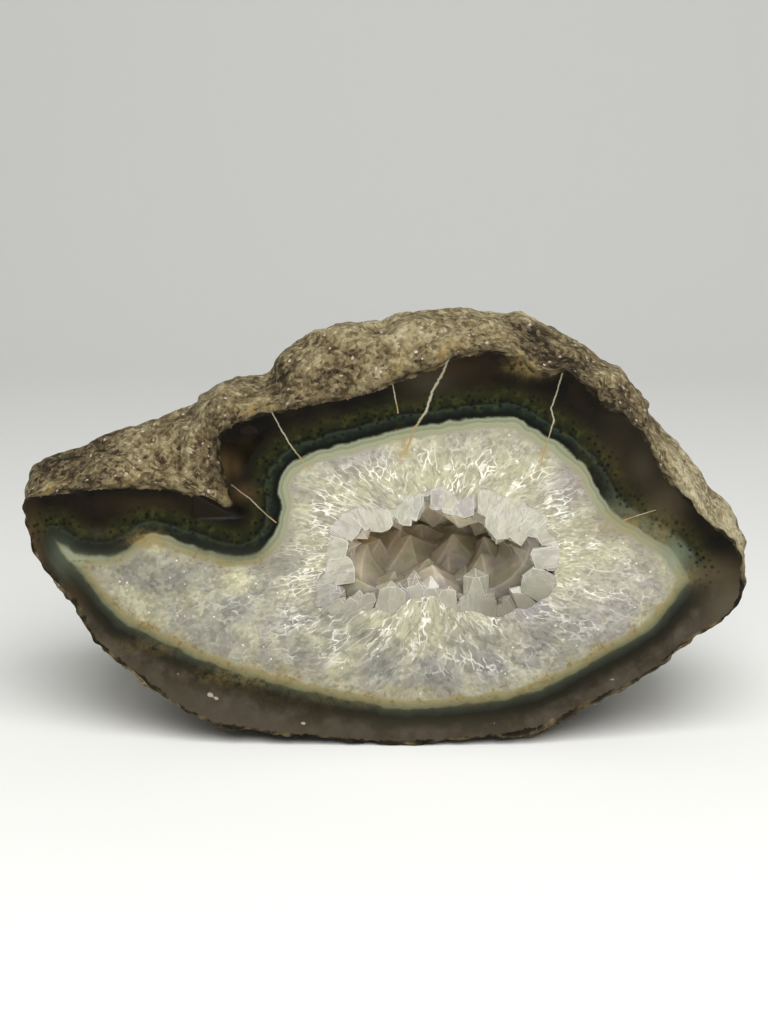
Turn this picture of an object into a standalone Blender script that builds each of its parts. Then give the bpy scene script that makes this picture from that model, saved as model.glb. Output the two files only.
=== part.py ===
# Druzy agate: half of a rough agate nodule, sawn and polished on one face and standing on its rind.
# Metres, +Z up. The polished face looks along -Y and the origin is the middle of the flat foot.
# Outlines below are in millimetres on the polished face: x to the right, z above the foot.

import math
import random

import bmesh
import bpy
import numpy as np
from mathutils import Matrix, Vector

MM = 0.001

# Driving dimensions of the stone, mm
FACE_Y = -28.0
DEPTH = 62.0
SHOULDER_DEPTH = 16.0
FACE_MIDDLE = (3.0, 37.0)
BACK_DROP = 10.0
BACK_ROUNDNESS = 2.4
SAW_ALLOWANCE = 4.0

# Edge of the polished face, clockwise from the left end, with the wedge of rind at the upper left
FACE_EDGE = [
    (-75.0, 53.0), (-73.3, 43.0), (-70.0, 37.5), (-64.5, 31.0), (-61.5, 24.0),
    (-52.0, 15.5), (-42.5, 8.0), (-35.3, 5.0), (-24.0, 3.0), (-11.0, 1.7),
    (2.0, 0.7), (14.0, 1.4), (27.0, 2.7), (34.5, 5.0), (41.0, 8.5),
    (51.0, 13.5), (58.0, 18.0), (63.5, 23.5), (70.0, 27.5), (73.5, 31.0),
    (74.8, 37.0), (73.6, 44.0), (70.0, 47.5), (66.2, 50.8), (61.9, 55.1),
    (58.0, 59.4), (55.6, 63.2), (53.0, 68.4), (49.4, 71.8), (44.8, 74.6),
    (40.7, 78.7), (37.3, 81.6), (33.4, 80.6), (29.6, 81.8), (27.6, 84.3),
    (22.0, 85.2), (14.7, 84.3), (9.5, 81.7), (4.3, 80.0), (-2.6, 77.4),
    (-8.8, 75.7), (-17.6, 74.0), (-24.2, 72.5), (-29.4, 71.2), (-33.4, 68.6),
    (-34.8, 64.9), (-33.8, 58.9), (-32.2, 53.0), (-36.0, 53.8), (-40.5, 55.6),
    (-45.7, 56.8), (-54.0, 57.2), (-61.3, 56.6), (-68.0, 55.7), (-72.5, 55.3),
]

# Widest outline of the rind, where it bulges out behind the face
SHOULDER = [
    (-76.0, 51.0), (-72.5, 42.0), (-67.0, 32.0), (-62.0, 22.0), (-53.0, 14.0),
    (-44.5, 6.5), (-35.5, 1.5), (-24.0, -1.0), (-8.0, -1.5), (8.0, -1.5),
    (24.0, -1.0), (35.0, 2.5), (47.5, 8.0), (58.5, 16.5), (68.0, 25.0),
    (75.5, 32.5), (77.5, 39.0), (75.0, 46.0), (70.5, 53.5), (63.5, 61.5),
    (56.5, 69.0), (56.0, 71.0), (53.0, 76.0), (47.0, 80.0), (41.5, 84.0),
    (35.5, 87.5), (29.0, 90.0), (23.0, 90.5), (14.0, 90.5), (6.5, 90.5),
    (-0.5, 87.0), (-10.0, 88.0), (-17.5, 85.5), (-22.5, 81.5), (-24.5, 77.5),
    (-29.0, 76.0), (-35.0, 74.0), (-41.5, 68.5), (-51.0, 66.0), (-66.0, 62.0),
    (-72.0, 60.0), (-76.0, 56.5),
]

# Lumps, ridges and pits of the rind: size of the feature and how far it stands, mm
RIND_RELIEF = [(17.0, 2.0), (7.5, 0.9), (3.6, 0.45)]
RIDGED_SIZE = 7.5
RELIEF_MEAN = 0.4
RELIEF_CELLS = 32
RELIEF_SEED = 11
EDGE_CALM_DEPTH = 5.0
SAWN_RIM = 0.5
RIND_COLUMNS = 280
RIND_RINGS = 84
RIND_TRIANGLES = 5600

# Hollow in the quartz: an ellipsoid with its middle this far behind the face, mm
HOLLOW_MIDDLE = (10.4, 43.3)
HOLLOW_MIDDLE_DEPTH = 4.0
HOLLOW_HALF = (27.5, 31.0, 17.5)
CRUST_THICKNESS = 6.8
CRUST_GAP = 0.4
HOLLOW_FACETS = 3

# Crystals at the mouth of the hollow: tip x, tip z, depth of the axis, radius, mm
MOUTH_CRYSTALS = [
    (-0.9, 46.6, 0.4, 3.0), (-5.7, 46.4, 0.3, 2.7), (-6.1, 39.6, 0.5, 3.2), (-8.6, 35.2, 0.4, 2.2),
    (0.9, 36.0, 0.6, 3.5), (6.1, 37.5, 0.5, 2.2), (10.5, 38.0, 0.5, 2.4), (13.6, 35.3, 0.3, 2.7),
    (18.2, 38.0, 1.6, 3.4), (21.5, 33.8, 0.3, 2.8), (27.4, 38.0, 1.2, 3.8), (30.2, 42.0, 0.4, 2.6),
    (29.0, 45.8, 0.5, 2.5), (22.9, 44.5, 2.0, 4.3), (16.1, 49.6, 0.8, 3.4), (12.9, 50.8, 0.3, 1.9),
    (8.4, 51.6, 0.4, 2.2), (4.7, 48.4, 0.5, 2.6), (-8.6, 43.0, 0.6, 2.6), (26.6, 49.6, 0.6, 2.6),
]
MOUTH_AIM = ((2.0, 42.8), (21.0, 43.0))
MOUTH_LEAN = (-0.5, 1.5)

# Crystals on the wall of the hollow behind its mouth: how many, radius, stand and sideways lean
WALL_CRYSTALS = 54
WALL_START = 0.08
WALL_RADIUS = (3.0, 5.8)
WALL_REACH = (0.4, 2.8)
WALL_LEAN = 0.3

# Every crystal: height of the point to its radius, and length of the prism behind it, mm
TIP_SLOPE = 1.12
ROOT_LENGTH = 11.0
SEED = 7


# Helpers for meshes and modifiers

def at(x, depth, z):
    """A point given in millimetres, with depth counted back from the polished face."""
    return Vector((x, FACE_Y + depth, z)) * MM


def collection(name):
    made = bpy.data.collections.new(name)
    bpy.context.scene.collection.children.link(made)
    return made


def object_from_bmesh(name, bm, into):
    mesh = bpy.data.meshes.new(name)
    bm.to_mesh(mesh)
    bm.free()
    made = bpy.data.objects.new(name, mesh)
    into.objects.link(made)
    return made


def as_cutter(obj):
    obj.hide_render = True
    obj.display_type = "WIRE"
    return obj


def boolean(obj, other, operation):
    cut = obj.modifiers.new(other.name, "BOOLEAN")
    cut.operation = operation
    cut.solver = "EXACT"
    cut.object = other
    return cut


def finish_material(obj, name, colour, roughness, transmission=0.0):
    material = bpy.data.materials.new(name)
    material.use_nodes = True
    shader = material.node_tree.nodes["Principled BSDF"]
    shader.inputs["Base Color"].default_value = (*colour, 1.0)
    shader.inputs["Roughness"].default_value = roughness
    shader.inputs["Metallic"].default_value = 0.0
    shader.inputs["Transmission Weight"].default_value = transmission
    obj.data.materials.clear()
    obj.data.materials.append(material)


def box_cutter(name, low, high, into):
    """A block between two corners given as (x, depth, z)."""
    a, b = at(*low), at(*high)
    bm = bmesh.new()
    bmesh.ops.create_cube(bm, size=1.0)
    bmesh.ops.scale(bm, vec=b - a, verts=bm.verts)
    bmesh.ops.translate(bm, vec=(a + b) / 2, verts=bm.verts)
    return as_cutter(object_from_bmesh(name, bm, into))


# Outlines of the stone

def smooth_outline(points, count):
    """A closed Catmull-Rom curve through the points, resampled to equal steps along its length."""
    p = np.array(points, float)
    before, after, second = np.roll(p, 1, 0), np.roll(p, -1, 0), np.roll(p, -2, 0)
    t = np.linspace(0, 1, 24, endpoint=False)[None, :, None]
    a, b, c, d = (q[:, None, :] for q in (before, p, after, second))
    curve = 0.5 * (2 * b + (c - a) * t + (2 * a - 5 * b + 4 * c - d) * t**2 + (3 * b - a - 3 * c + d) * t**3)
    curve = curve.reshape(-1, 2)
    closed = np.vstack([curve, curve[:1]])
    walked = np.concatenate([[0], np.cumsum(np.linalg.norm(np.diff(closed, axis=0), axis=1))])
    stations = np.linspace(0, walked[-1], count, endpoint=False)
    return np.stack([np.interp(stations, walked, closed[:, k]) for k in (0, 1)], 1)


def polar(points):
    """Angle and radius of each point about the middle of the face, the angle running on past a full turn."""
    offset = points - np.array(FACE_MIDDLE)
    return np.unwrap(np.arctan2(offset[:, 1], offset[:, 0])), np.linalg.norm(offset, axis=1)


def radius_along(points, angles):
    """Radius of an outline in each of the given directions."""
    a, r = polar(smooth_outline(points, 720))
    a = np.mod(a, 2 * math.pi)
    order = np.argsort(a)
    return np.interp(np.mod(angles, 2 * math.pi), a[order], r[order], period=2 * math.pi)


def evened(angles, passes=60):
    """The same turn of directions with its bunched stretches spread out."""
    turn = angles[-1] - angles[0] + (angles[1] - angles[0])
    full = math.copysign(2 * math.pi, turn)
    ramp = np.arange(len(angles)) / len(angles) * full
    wave = angles - ramp
    for _ in range(passes):
        wave = (np.roll(wave, 1) + wave + np.roll(wave, -1)) / 3
    return wave + ramp


def ring_depths():
    """Depths of the rings: close together behind the face, then evenly round the back."""
    front = np.linspace(0, 1, RIND_RINGS // 4, endpoint=False) ** 1.2 * SHOULDER_DEPTH
    turn = np.linspace(0, math.pi / 2, RIND_RINGS - len(front) + 1)[:-1]
    return np.concatenate([[-SAW_ALLOWANCE], front, SHOULDER_DEPTH + (DEPTH - SHOULDER_DEPTH) * np.sin(turn)])


def rind_point(depth, angle, face_radius, spread_angle, shoulder_radius):
    """A point of the smooth stone: face edge to shoulder, then a dome that drops towards the back."""
    out = min(max(depth / SHOULDER_DEPTH, 0.0), 1.0)
    flare = math.sin(out * math.pi / 2)
    back = min(max((depth - SHOULDER_DEPTH) / (DEPTH - SHOULDER_DEPTH), 0.0), 1.0)
    direction = angle + (spread_angle - angle) * flare
    radius = (face_radius + (shoulder_radius - face_radius) * flare) * math.sqrt(1 - back**BACK_ROUNDNESS)
    x = FACE_MIDDLE[0] + radius * math.cos(direction)
    z = FACE_MIDDLE[1] - BACK_DROP * back + radius * math.sin(direction)
    return at(x, depth, z)


def lumps(places, size, seed):
    """Smooth random lumps of one size: values at the corners of a grid of cells, blended across each cell."""
    corners = np.random.default_rng(seed).uniform(-1, 1, (RELIEF_CELLS,) * 3)
    cell = np.floor(places / size).astype(int)
    share = places / size - cell
    share = share * share * (3 - 2 * share)
    total = np.zeros(len(places))
    for corner in np.ndindex(2, 2, 2):
        weight = np.prod(np.where(corner, share, 1 - share), axis=1)
        i, j, k = ((cell + corner) % RELIEF_CELLS).T
        total += weight * corners[i, j, k]
    return total


def relief(places, depths):
    """How far the rind stands out at each point, mm: lumps, ridges and small pits, calm at the sawn edge."""
    total = np.zeros(len(places))
    for layer, (size, height) in enumerate(RIND_RELIEF):
        value = lumps(places, size, RELIEF_SEED + layer)
        total += height * (1 - 2 * abs(value) if size == RIDGED_SIZE else value)
    calm = np.clip((depths + SAWN_RIM) / EDGE_CALM_DEPTH, 0.0, 1.0)
    return (total - RELIEF_MEAN) * calm


def stone_blank(into):
    """The whole rind as a loft of rings closed at the back, roughened, then reduced to rock-like facets."""
    edge = smooth_outline(FACE_EDGE, RIND_COLUMNS)
    angles, face_radius = polar(edge)
    spread = evened(angles)
    shoulder_radius = radius_along(SHOULDER, spread)
    depths = ring_depths()
    bm = bmesh.new()
    rings = []
    for depth in depths:
        rings.append([
            bm.verts.new(rind_point(depth, *column))
            for column in zip(angles, face_radius, spread, shoulder_radius)
        ])
    back = bm.verts.new(at(FACE_MIDDLE[0], DEPTH, FACE_MIDDLE[1] - BACK_DROP))
    for near, far in zip(rings, rings[1:]):
        for i in range(RIND_COLUMNS):
            j = (i + 1) % RIND_COLUMNS
            bm.faces.new((near[i], near[j], far[j], far[i]))
    for i in range(RIND_COLUMNS):
        bm.faces.new((rings[-1][i], rings[-1][(i + 1) % RIND_COLUMNS], back))
    bm.faces.new(rings[0])
    bmesh.ops.recalc_face_normals(bm, faces=bm.faces)
    bm.normal_update()
    verts = [v for ring in rings[1:] for v in ring]
    places = np.array([v.co for v in verts]) / MM
    stands = relief(places, np.repeat(depths[1:], RIND_COLUMNS))
    for vert, stand in zip(verts, stands):
        vert.co += vert.normal * float(stand) * MM
    blank = object_from_bmesh("agate_stone", bm, into)
    facets = blank.modifiers.new("facets", "DECIMATE")
    facets.ratio = RIND_TRIANGLES / (2 * RIND_COLUMNS * len(depths))
    return blank


# The hollow and its crystals

def ellipsoid(name, half, into, scale=1.0):
    """The hollow's ellipsoid with the given half sizes along x, depth and z."""
    bm = bmesh.new()
    bmesh.ops.create_icosphere(bm, subdivisions=HOLLOW_FACETS, radius=1.0)
    bmesh.ops.scale(bm, vec=Vector(half) * scale * MM, verts=bm.verts)
    centre = at(HOLLOW_MIDDLE[0], HOLLOW_MIDDLE_DEPTH, HOLLOW_MIDDLE[1])
    bmesh.ops.translate(bm, vec=centre, verts=bm.verts)
    return as_cutter(object_from_bmesh(name, bm, into))


def add_crystal(bm, tip, axis, radius, roll):
    """A six-sided quartz prism with a pointed end, its tip at the given point and its root behind it."""
    made = bmesh.ops.create_cone(
        bm, cap_ends=True, segments=6, radius1=radius * MM, radius2=radius * MM, depth=ROOT_LENGTH * MM
    )
    verts = made["verts"]
    top = max({f for v in verts for f in v.link_faces}, key=lambda f: f.calc_center_median().z)
    peak = bmesh.ops.poke(bm, faces=[top])["verts"][0]
    peak.co.z += radius * TIP_SLOPE * MM
    verts = verts + [peak]
    turn = axis.to_track_quat("Z", "Y").to_matrix().to_4x4() @ Matrix.Rotation(roll, 4, "Z")
    place = Matrix.Translation(tip) @ turn @ Matrix.Translation(-peak.co)
    bmesh.ops.transform(bm, matrix=place, verts=verts)


def nearest_on_aim(x, z):
    """The point of the hollow's long axis that a mouth crystal grows towards."""
    (x0, z0), (x1, z1) = MOUTH_AIM
    share = min(max((x - x0) / (x1 - x0), 0.0), 1.0)
    return x0 + (x1 - x0) * share, z0 + (z1 - z0) * share


def mouth_crystals(bm, chance):
    for x, z, depth, radius in MOUTH_CRYSTALS:
        ax, az = nearest_on_aim(x, z)
        axis = Vector((ax - x, chance.uniform(*MOUTH_LEAN), az - z)).normalized()
        add_crystal(bm, at(x, depth, z), axis, radius, chance.uniform(0, math.pi / 3))


def wall_crystals(bm, chance):
    """Crystals spread evenly over the wall of the hollow behind its mouth, leaning a little each way."""
    half = Vector(HOLLOW_HALF) - Vector((CRUST_THICKNESS,) * 3)
    golden = math.pi * (3 - math.sqrt(5))
    for i in range(WALL_CRYSTALS):
        depth_share = WALL_START + (1 - WALL_START) * (i + 0.5) / WALL_CRYSTALS
        around = golden * i
        wide = math.sqrt(max(1 - depth_share**2, 0.0))
        unit = Vector((wide * math.cos(around), depth_share, wide * math.sin(around)))
        foot = Vector((half.x * unit.x, half.y * unit.y, half.z * unit.z))
        inward = -Vector((unit.x / half.x, unit.y / half.y, unit.z / half.z)).normalized()
        lean = Vector([chance.uniform(-WALL_LEAN, WALL_LEAN) for _ in range(3)])
        axis = (inward + lean).normalized()
        radius = chance.uniform(*WALL_RADIUS)
        reach = chance.uniform(*WALL_REACH) + radius * TIP_SLOPE
        tip = foot + axis * reach
        place = at(HOLLOW_MIDDLE[0] + tip.x, HOLLOW_MIDDLE_DEPTH + tip.y, HOLLOW_MIDDLE[1] + tip.z)
        add_crystal(bm, place, axis, radius, chance.uniform(0, math.pi / 3))


def largest_piece(obj, name, into):
    """The biggest connected part of an object's evaluated mesh, as a new object."""
    graph = bpy.context.evaluated_depsgraph_get()
    bm = bmesh.new()
    bm.from_mesh(bpy.data.meshes.new_from_object(obj.evaluated_get(graph)))
    left, best = set(bm.verts), []
    while left:
        start = left.pop()
        found, queue = [start], [start]
        while queue:
            for edge in queue.pop().link_edges:
                for vert in edge.verts:
                    if vert in left:
                        left.discard(vert)
                        found.append(vert)
                        queue.append(vert)
        best = found if len(found) > len(best) else best
    keep = set(best)
    bmesh.ops.delete(bm, geom=[v for v in bm.verts if v not in keep], context="VERTS")
    return object_from_bmesh(name, bm, into)


def hollow_void(into):
    """The open space of the hollow: the inner ellipsoid with every crystal taken out of it."""
    chance = random.Random(SEED)
    bm = bmesh.new()
    mouth_crystals(bm, chance)
    wall_crystals(bm, chance)
    crystals = as_cutter(object_from_bmesh("crystals", bm, into))
    thin = Vector(HOLLOW_HALF) - Vector((CRUST_THICKNESS,) * 3)
    space = ellipsoid("inner_space", thin, into)
    boolean(space, crystals, "DIFFERENCE").use_self = True
    bpy.context.view_layer.update()
    return as_cutter(largest_piece(space, "void", into))


# The two pieces

def build():
    for obj in list(bpy.data.objects):
        bpy.data.objects.remove(obj)
    parts = collection("druzy_agate")
    cutters = collection("cutters")
    saw = box_cutter("saw", (-90, -60, -20), (90, 0, 110), cutters)
    foot = box_cutter("foot", (-90, -5, -20), (90, 70, 0), cutters)
    bowl = ellipsoid("bowl", HOLLOW_HALF, cutters)

    stone = stone_blank(parts)
    for cutter in (saw, foot, bowl):
        boolean(stone, cutter, "DIFFERENCE")
    finish_material(stone, "agate_rind", (0.20, 0.16, 0.11), 0.75)

    crust = ellipsoid("quartz_crust", HOLLOW_HALF, parts, 1 - CRUST_GAP / min(HOLLOW_HALF))
    crust.hide_render = False
    crust.display_type = "TEXTURED"
    boolean(crust, saw, "DIFFERENCE")
    boolean(crust, hollow_void(cutters), "DIFFERENCE")
    finish_material(crust, "druse_quartz", (0.80, 0.77, 0.78), 0.08, 0.6)


build()
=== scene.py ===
# Druzy agate: half of a rough nodule, sawn and polished on one face, with a crystal-lined hollow.
# Lengths are in millimetres until they go into a mesh. The polished face looks along -Y.

import math
from functools import partial

import bmesh
import bpy
import numpy as np
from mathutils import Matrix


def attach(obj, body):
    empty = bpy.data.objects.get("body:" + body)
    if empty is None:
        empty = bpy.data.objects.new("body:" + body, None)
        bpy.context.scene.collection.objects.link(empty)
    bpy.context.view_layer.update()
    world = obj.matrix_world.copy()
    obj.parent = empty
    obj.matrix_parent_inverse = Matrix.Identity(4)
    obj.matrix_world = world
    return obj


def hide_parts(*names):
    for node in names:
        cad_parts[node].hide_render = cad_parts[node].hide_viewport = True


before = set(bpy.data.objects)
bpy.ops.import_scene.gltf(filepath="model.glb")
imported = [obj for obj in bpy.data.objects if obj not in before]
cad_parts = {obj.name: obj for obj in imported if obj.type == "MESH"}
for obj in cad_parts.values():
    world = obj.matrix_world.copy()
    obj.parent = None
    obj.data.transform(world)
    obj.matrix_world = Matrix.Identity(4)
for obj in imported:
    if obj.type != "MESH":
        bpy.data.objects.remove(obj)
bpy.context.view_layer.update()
mm = 0.001
print("frame loaded:", sorted(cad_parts))


# Colours, nodes and meshes

def linear(hexColour):
    # an sRGB hex colour as the linear values that shaders take
    parts = [int(hexColour[i:i + 2], 16) / 255 for i in (1, 3, 5)]
    return tuple(c / 12.92 if c <= 0.04045 else ((c + 0.055) / 1.055) ** 2.4 for c in parts) + (1.0,)


def addNode(tree, kind, inputs=(), **settings):
    # one node with its own settings; inputs go by name, or as a list in the order that the node shows them,
    # and each is a value, a socket, or a node whose first shown output is used
    node = tree.nodes.new("ShaderNode" + kind)
    for name, value in settings.items():
        setattr(node, name, value)
    if isinstance(inputs, dict):
        pairs = [(node.inputs[name], value) for name, value in inputs.items()]
    else:
        pairs = zip([socket for socket in node.inputs if socket.enabled], inputs)
    for socket, value in pairs:
        if isinstance(value, bpy.types.Node):
            value = next(out for out in value.outputs if out.enabled)
        if isinstance(value, bpy.types.NodeSocket):
            tree.links.new(value, socket)
        else:
            socket.default_value = value
    return node


def fillRamp(node, stops):
    # colour stops of a ramp, as position and hex colour or grey value
    ramp = node.color_ramp
    while len(ramp.elements) > 1:
        ramp.elements.remove(ramp.elements[-1])
    for k, (place, colour) in enumerate(stops):
        stop = ramp.elements[0] if k == 0 else ramp.elements.new(place)
        stop.position = place
        stop.color = linear(colour) if isinstance(colour, str) else (colour, colour, colour, 1.0)
    return node


def newMaterial(name, values):
    # a material, what adds a node to it, and its shader with the values that are the same all over
    material = bpy.data.materials.new(name)
    material.use_nodes = True
    shader = material.node_tree.nodes["Principled BSDF"]
    for socket, value in values.items():
        shader.inputs[socket].default_value = value
    return material, partial(addNode, material.node_tree), shader


def meshPiece(name, points, faces, materials, faceMaterial=None, smooth=False):
    # points in millimetres become a mesh object at the origin
    mesh = bpy.data.meshes.new(name)
    mesh.from_pydata((np.asarray(points) * mm).tolist(), [], faces)
    for material in materials:
        mesh.materials.append(material)
    if faceMaterial is not None:
        mesh.polygons.foreach_set("material_index", np.asarray(faceMaterial, dtype=np.int32))
    mesh.polygons.foreach_set("use_smooth", np.full(len(mesh.polygons), smooth))
    mesh.update()
    piece = bpy.data.objects.new(name, mesh)
    bpy.context.scene.collection.objects.link(piece)
    return piece


def storeOnPoints(piece, name, values):
    # a number or a vector for every point, which a material reads by name
    values = np.asarray(values, dtype=np.float32)
    kind, key = ("FLOAT", "value") if values.ndim == 1 else ("FLOAT_VECTOR", "vector")
    piece.data.attributes.new(name, kind, "POINT").data.foreach_set(key, values.ravel())


def gridFaces(rows, columns, start=0):
    # quads of a grid whose columns close into a ring, row by row
    i = np.arange(rows - 1)[:, None] * columns
    j = np.arange(columns)[None, :]
    k = (j + 1) % columns
    return (start + np.stack([i + j, i + k, i + columns + k, i + columns + j], -1)).reshape(-1, 4).tolist()


def fanFaces(ring, pole, columns, flip=False):
    # triangles from one ring of a grid to a single point
    j = np.arange(columns)
    k = (j + 1) % columns
    a, b = (k, j) if flip else (j, k)
    return np.stack([ring + a, ring + b, np.full(columns, pole)], -1).tolist()


# Outlines of the stone, mm: x to the right, z above the foot, as on the solids.
# All of them run anticlockwise as the polished face is seen.

stone = {
    "faceY": -28.0,             # where the polished face stands
    "depth": 62.0,
    "shoulderDepth": 16.0,      # the stone is widest this far behind the face
    "middle": (3.0, 37.0),      # x and z that the rings of the rind turn about
    "backDrop": 10.0,           # how far the middle sinks towards the back
    "backRoundness": 2.4,
    "relief": [(17.0, 2.0), (7.5, 0.9), (3.6, 0.45)],       # size and height of the lumps
    "ridgedSize": 7.5,          # lumps of this size are ridges
    "reliefMean": 0.4,
    "reliefCells": 32,
    "reliefSeed": 11,
    "calmDepth": 5.0,           # the lumps grow to full height over this depth
    "sawnRim": 0.5,             # and start this far in front of the face
    "grain": [(2.6, 0.34), (1.3, 0.26)],
    "grainSeed": 31,
    "edgeRagged": [(3.2, 0.5), (1.5, 0.35)],
    "chips": [                  # a place on the crease, the way it falls back, and how steeply
        ((-30.2, 64.0), (-1.0, 0.12), 0.55),
        ((-28.0, 55.0), (-0.75, -0.66), 0.4),
        ((-31.0, 59.0), (-0.8, 0.6), 0.3)],
    "chipReach": ((-40.0, -23.0), (50.0, 71.0)),
    "chipEase": 5.0,            # the chips come to nothing over this much inside their reach
    "chipFade": 7.0,            # and this far behind the face
    "columns": 720,
    "rings": 112,
    "frontRings": 28,           # of these, from the face to the shoulder
    "frontGather": 1.2,         # above 1, they gather near the face
    "evening": 400,             # passes that even out the turn of directions
    "skin": 0.3,                # the first ring lies this far behind the polish
    "rimFade": 0.8,             # and the lumps fade in over this depth behind it
    "flatDepth": 3.0,
    "bowlRows": 16,
    "curveSteps": 24,           # points drawn between two given ones of an outline
}

faceEdge = [
    (-75.0, 53.0), (-73.3, 43.0), (-70.0, 37.5), (-64.5, 31.0), (-61.5, 24.0),
    (-52.0, 15.5), (-42.5, 8.0), (-35.3, 5.0), (-24.0, 3.0), (-11.0, 1.7),
    (2.0, 0.7), (14.0, 1.4), (27.0, 2.7), (34.5, 5.0), (41.0, 8.5),
    (51.0, 13.5), (58.0, 18.0), (63.5, 23.5), (70.0, 27.5), (73.5, 31.0),
    (74.8, 37.0), (73.6, 44.0), (70.0, 47.5), (66.2, 50.8), (61.9, 55.1),
    (58.0, 59.4), (55.6, 63.2), (53.0, 68.4), (49.4, 71.8), (44.8, 74.6),
    (40.7, 78.7), (37.3, 81.6), (33.4, 80.6), (29.6, 81.8), (27.6, 84.3),
    (22.0, 85.2), (14.7, 84.3), (9.5, 81.7), (4.3, 80.0), (-2.6, 77.4),
    (-8.8, 75.7), (-17.6, 74.0), (-24.2, 72.5), (-29.4, 71.2), (-33.4, 68.6),
    (-34.8, 64.9), (-33.8, 58.9), (-32.2, 53.0), (-36.0, 53.8), (-40.5, 55.6),
    (-45.7, 56.8), (-54.0, 57.2), (-61.3, 56.6), (-68.0, 55.7), (-72.5, 55.3),
]

shoulder = [
    (-76.0, 51.0), (-72.5, 42.0), (-67.0, 32.0), (-62.0, 22.0), (-53.0, 14.0),
    (-44.5, 6.5), (-35.5, 1.5), (-24.0, -1.0), (-8.0, -1.5), (8.0, -1.5),
    (24.0, -1.0), (35.0, 2.5), (47.5, 8.0), (58.5, 16.5), (68.0, 25.0),
    (75.5, 32.5), (77.5, 39.0), (75.0, 46.0), (70.5, 53.5), (63.5, 61.5),
    (56.5, 69.0), (56.0, 71.0), (53.0, 76.0), (47.0, 80.0), (41.5, 84.0),
    (35.5, 87.5), (29.0, 90.0), (23.0, 90.5), (14.0, 90.5), (6.5, 90.5),
    (-0.5, 87.0), (-10.0, 88.0), (-17.5, 85.5), (-22.5, 81.5), (-24.5, 77.5),
    (-29.0, 76.0), (-35.0, 74.0), (-41.5, 68.5), (-51.0, 66.0), (-66.0, 62.0),
    (-72.0, 60.0), (-76.0, 56.5),
]

# outer line of the pale band round the quartz
quartzEdge = [
    (-69.2, 46.0), (-67.1, 41.9), (-63.3, 37.2), (-59.3, 31.8), (-55.4, 27.5),
    (-49.2, 24.2), (-42.1, 20.5), (-33.9, 16.9), (-25.6, 14.5), (-19.4, 12.6),
    (-11.1, 10.7), (-2.9, 9.1), (3.4, 8.2), (11.8, 8.5), (24.3, 10.0),
    (32.6, 12.3), (40.8, 16.7), (48.9, 21.6), (55.0, 25.3), (60.0, 30.8),
    (62.9, 35.6), (63.8, 36.9), (62.8, 39.1), (59.5, 43.5), (53.3, 47.7),
    (48.1, 51.0), (44.9, 55.1), (41.8, 60.7), (36.5, 65.5), (31.5, 68.5),
    (26.4, 71.5), (17.3, 71.3), (8.3, 70.0), (1.3, 68.7), (-6.8, 66.4),
    (-14.8, 64.4), (-20.2, 61.1), (-22.2, 57.3), (-21.8, 53.1), (-23.0, 47.3),
    (-26.1, 43.6), (-31.4, 42.1), (-39.7, 44.2), (-45.7, 46.4), (-49.6, 46.6),
    (-56.8, 42.6), (-64.1, 43.0), (-66.8, 44.6),
]

# where the crystal tips at the mouth of the hollow end
hollowEdge = [
    (-8.5, 38.0), (-9.5, 33.7), (-8.3, 33.2), (-3.7, 34.8), (1.0, 36.1), (6.2, 37.6),
    (10.6, 38.0), (13.5, 35.4), (18.3, 38.0), (21.5, 33.5), (25.0, 35.8), (29.4, 38.7),
    (30.1, 43.4), (29.1, 45.6), (27.0, 46.7), (23.0, 44.5), (19.0, 50.5), (16.1, 49.7),
    (13.4, 50.5), (10.7, 52.2), (8.4, 51.8), (4.7, 48.4), (-0.9, 46.7), (-5.7, 46.5),
    (-7.0, 45.6), (-6.1, 41.3),
]


def smoothLoop(points, count):
    # a closed Catmull-Rom curve through the points, resampled to equal steps along its length
    p = np.array(points, float)
    before, after, second = np.roll(p, 1, 0), np.roll(p, -1, 0), np.roll(p, -2, 0)
    t = np.linspace(0, 1, stone["curveSteps"], endpoint=False)[None, :, None]
    a, b, c, d = (q[:, None, :] for q in (before, p, after, second))
    curve = 0.5 * (2 * b + (c - a) * t + (2 * a - 5 * b + 4 * c - d) * t**2 + (3 * b - a - 3 * c + d) * t**3)
    return evenSteps(curve.reshape(-1, 2), count)


def evenSteps(loop, count):
    # a closed loop of straight pieces, resampled to equal steps along its length
    closed = np.vstack([loop, loop[:1]])
    walked = np.concatenate([[0], np.cumsum(np.linalg.norm(np.diff(closed, axis=0), axis=1))])
    stations = np.linspace(0, walked[-1], count, endpoint=False)
    return np.stack([np.interp(stations, walked, closed[:, k]) for k in (0, 1)], 1)


def polar(points):
    # angle and radius about the middle of the face, the angle running on past a full turn
    offset = points - np.array(stone["middle"])
    return np.unwrap(np.arctan2(offset[:, 1], offset[:, 0])), np.linalg.norm(offset, axis=1)


def radiusAlong(points, angles):
    # radius of an outline in each of the given directions
    a, r = polar(smoothLoop(points, stone["columns"]))
    a = np.mod(a, 2 * math.pi)
    order = np.argsort(a)
    return np.interp(np.mod(angles, 2 * math.pi), a[order], r[order], period=2 * math.pi)


def evened(angles):
    # the same turn of directions with its bunched stretches spread out
    full = math.copysign(2 * math.pi, angles[-1] - angles[0])
    ramp = np.arange(len(angles)) / len(angles) * full
    wave = angles - ramp
    for _ in range(stone["evening"]):
        wave = (np.roll(wave, 1) + wave + np.roll(wave, -1)) / 3
    return wave + ramp


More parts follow.
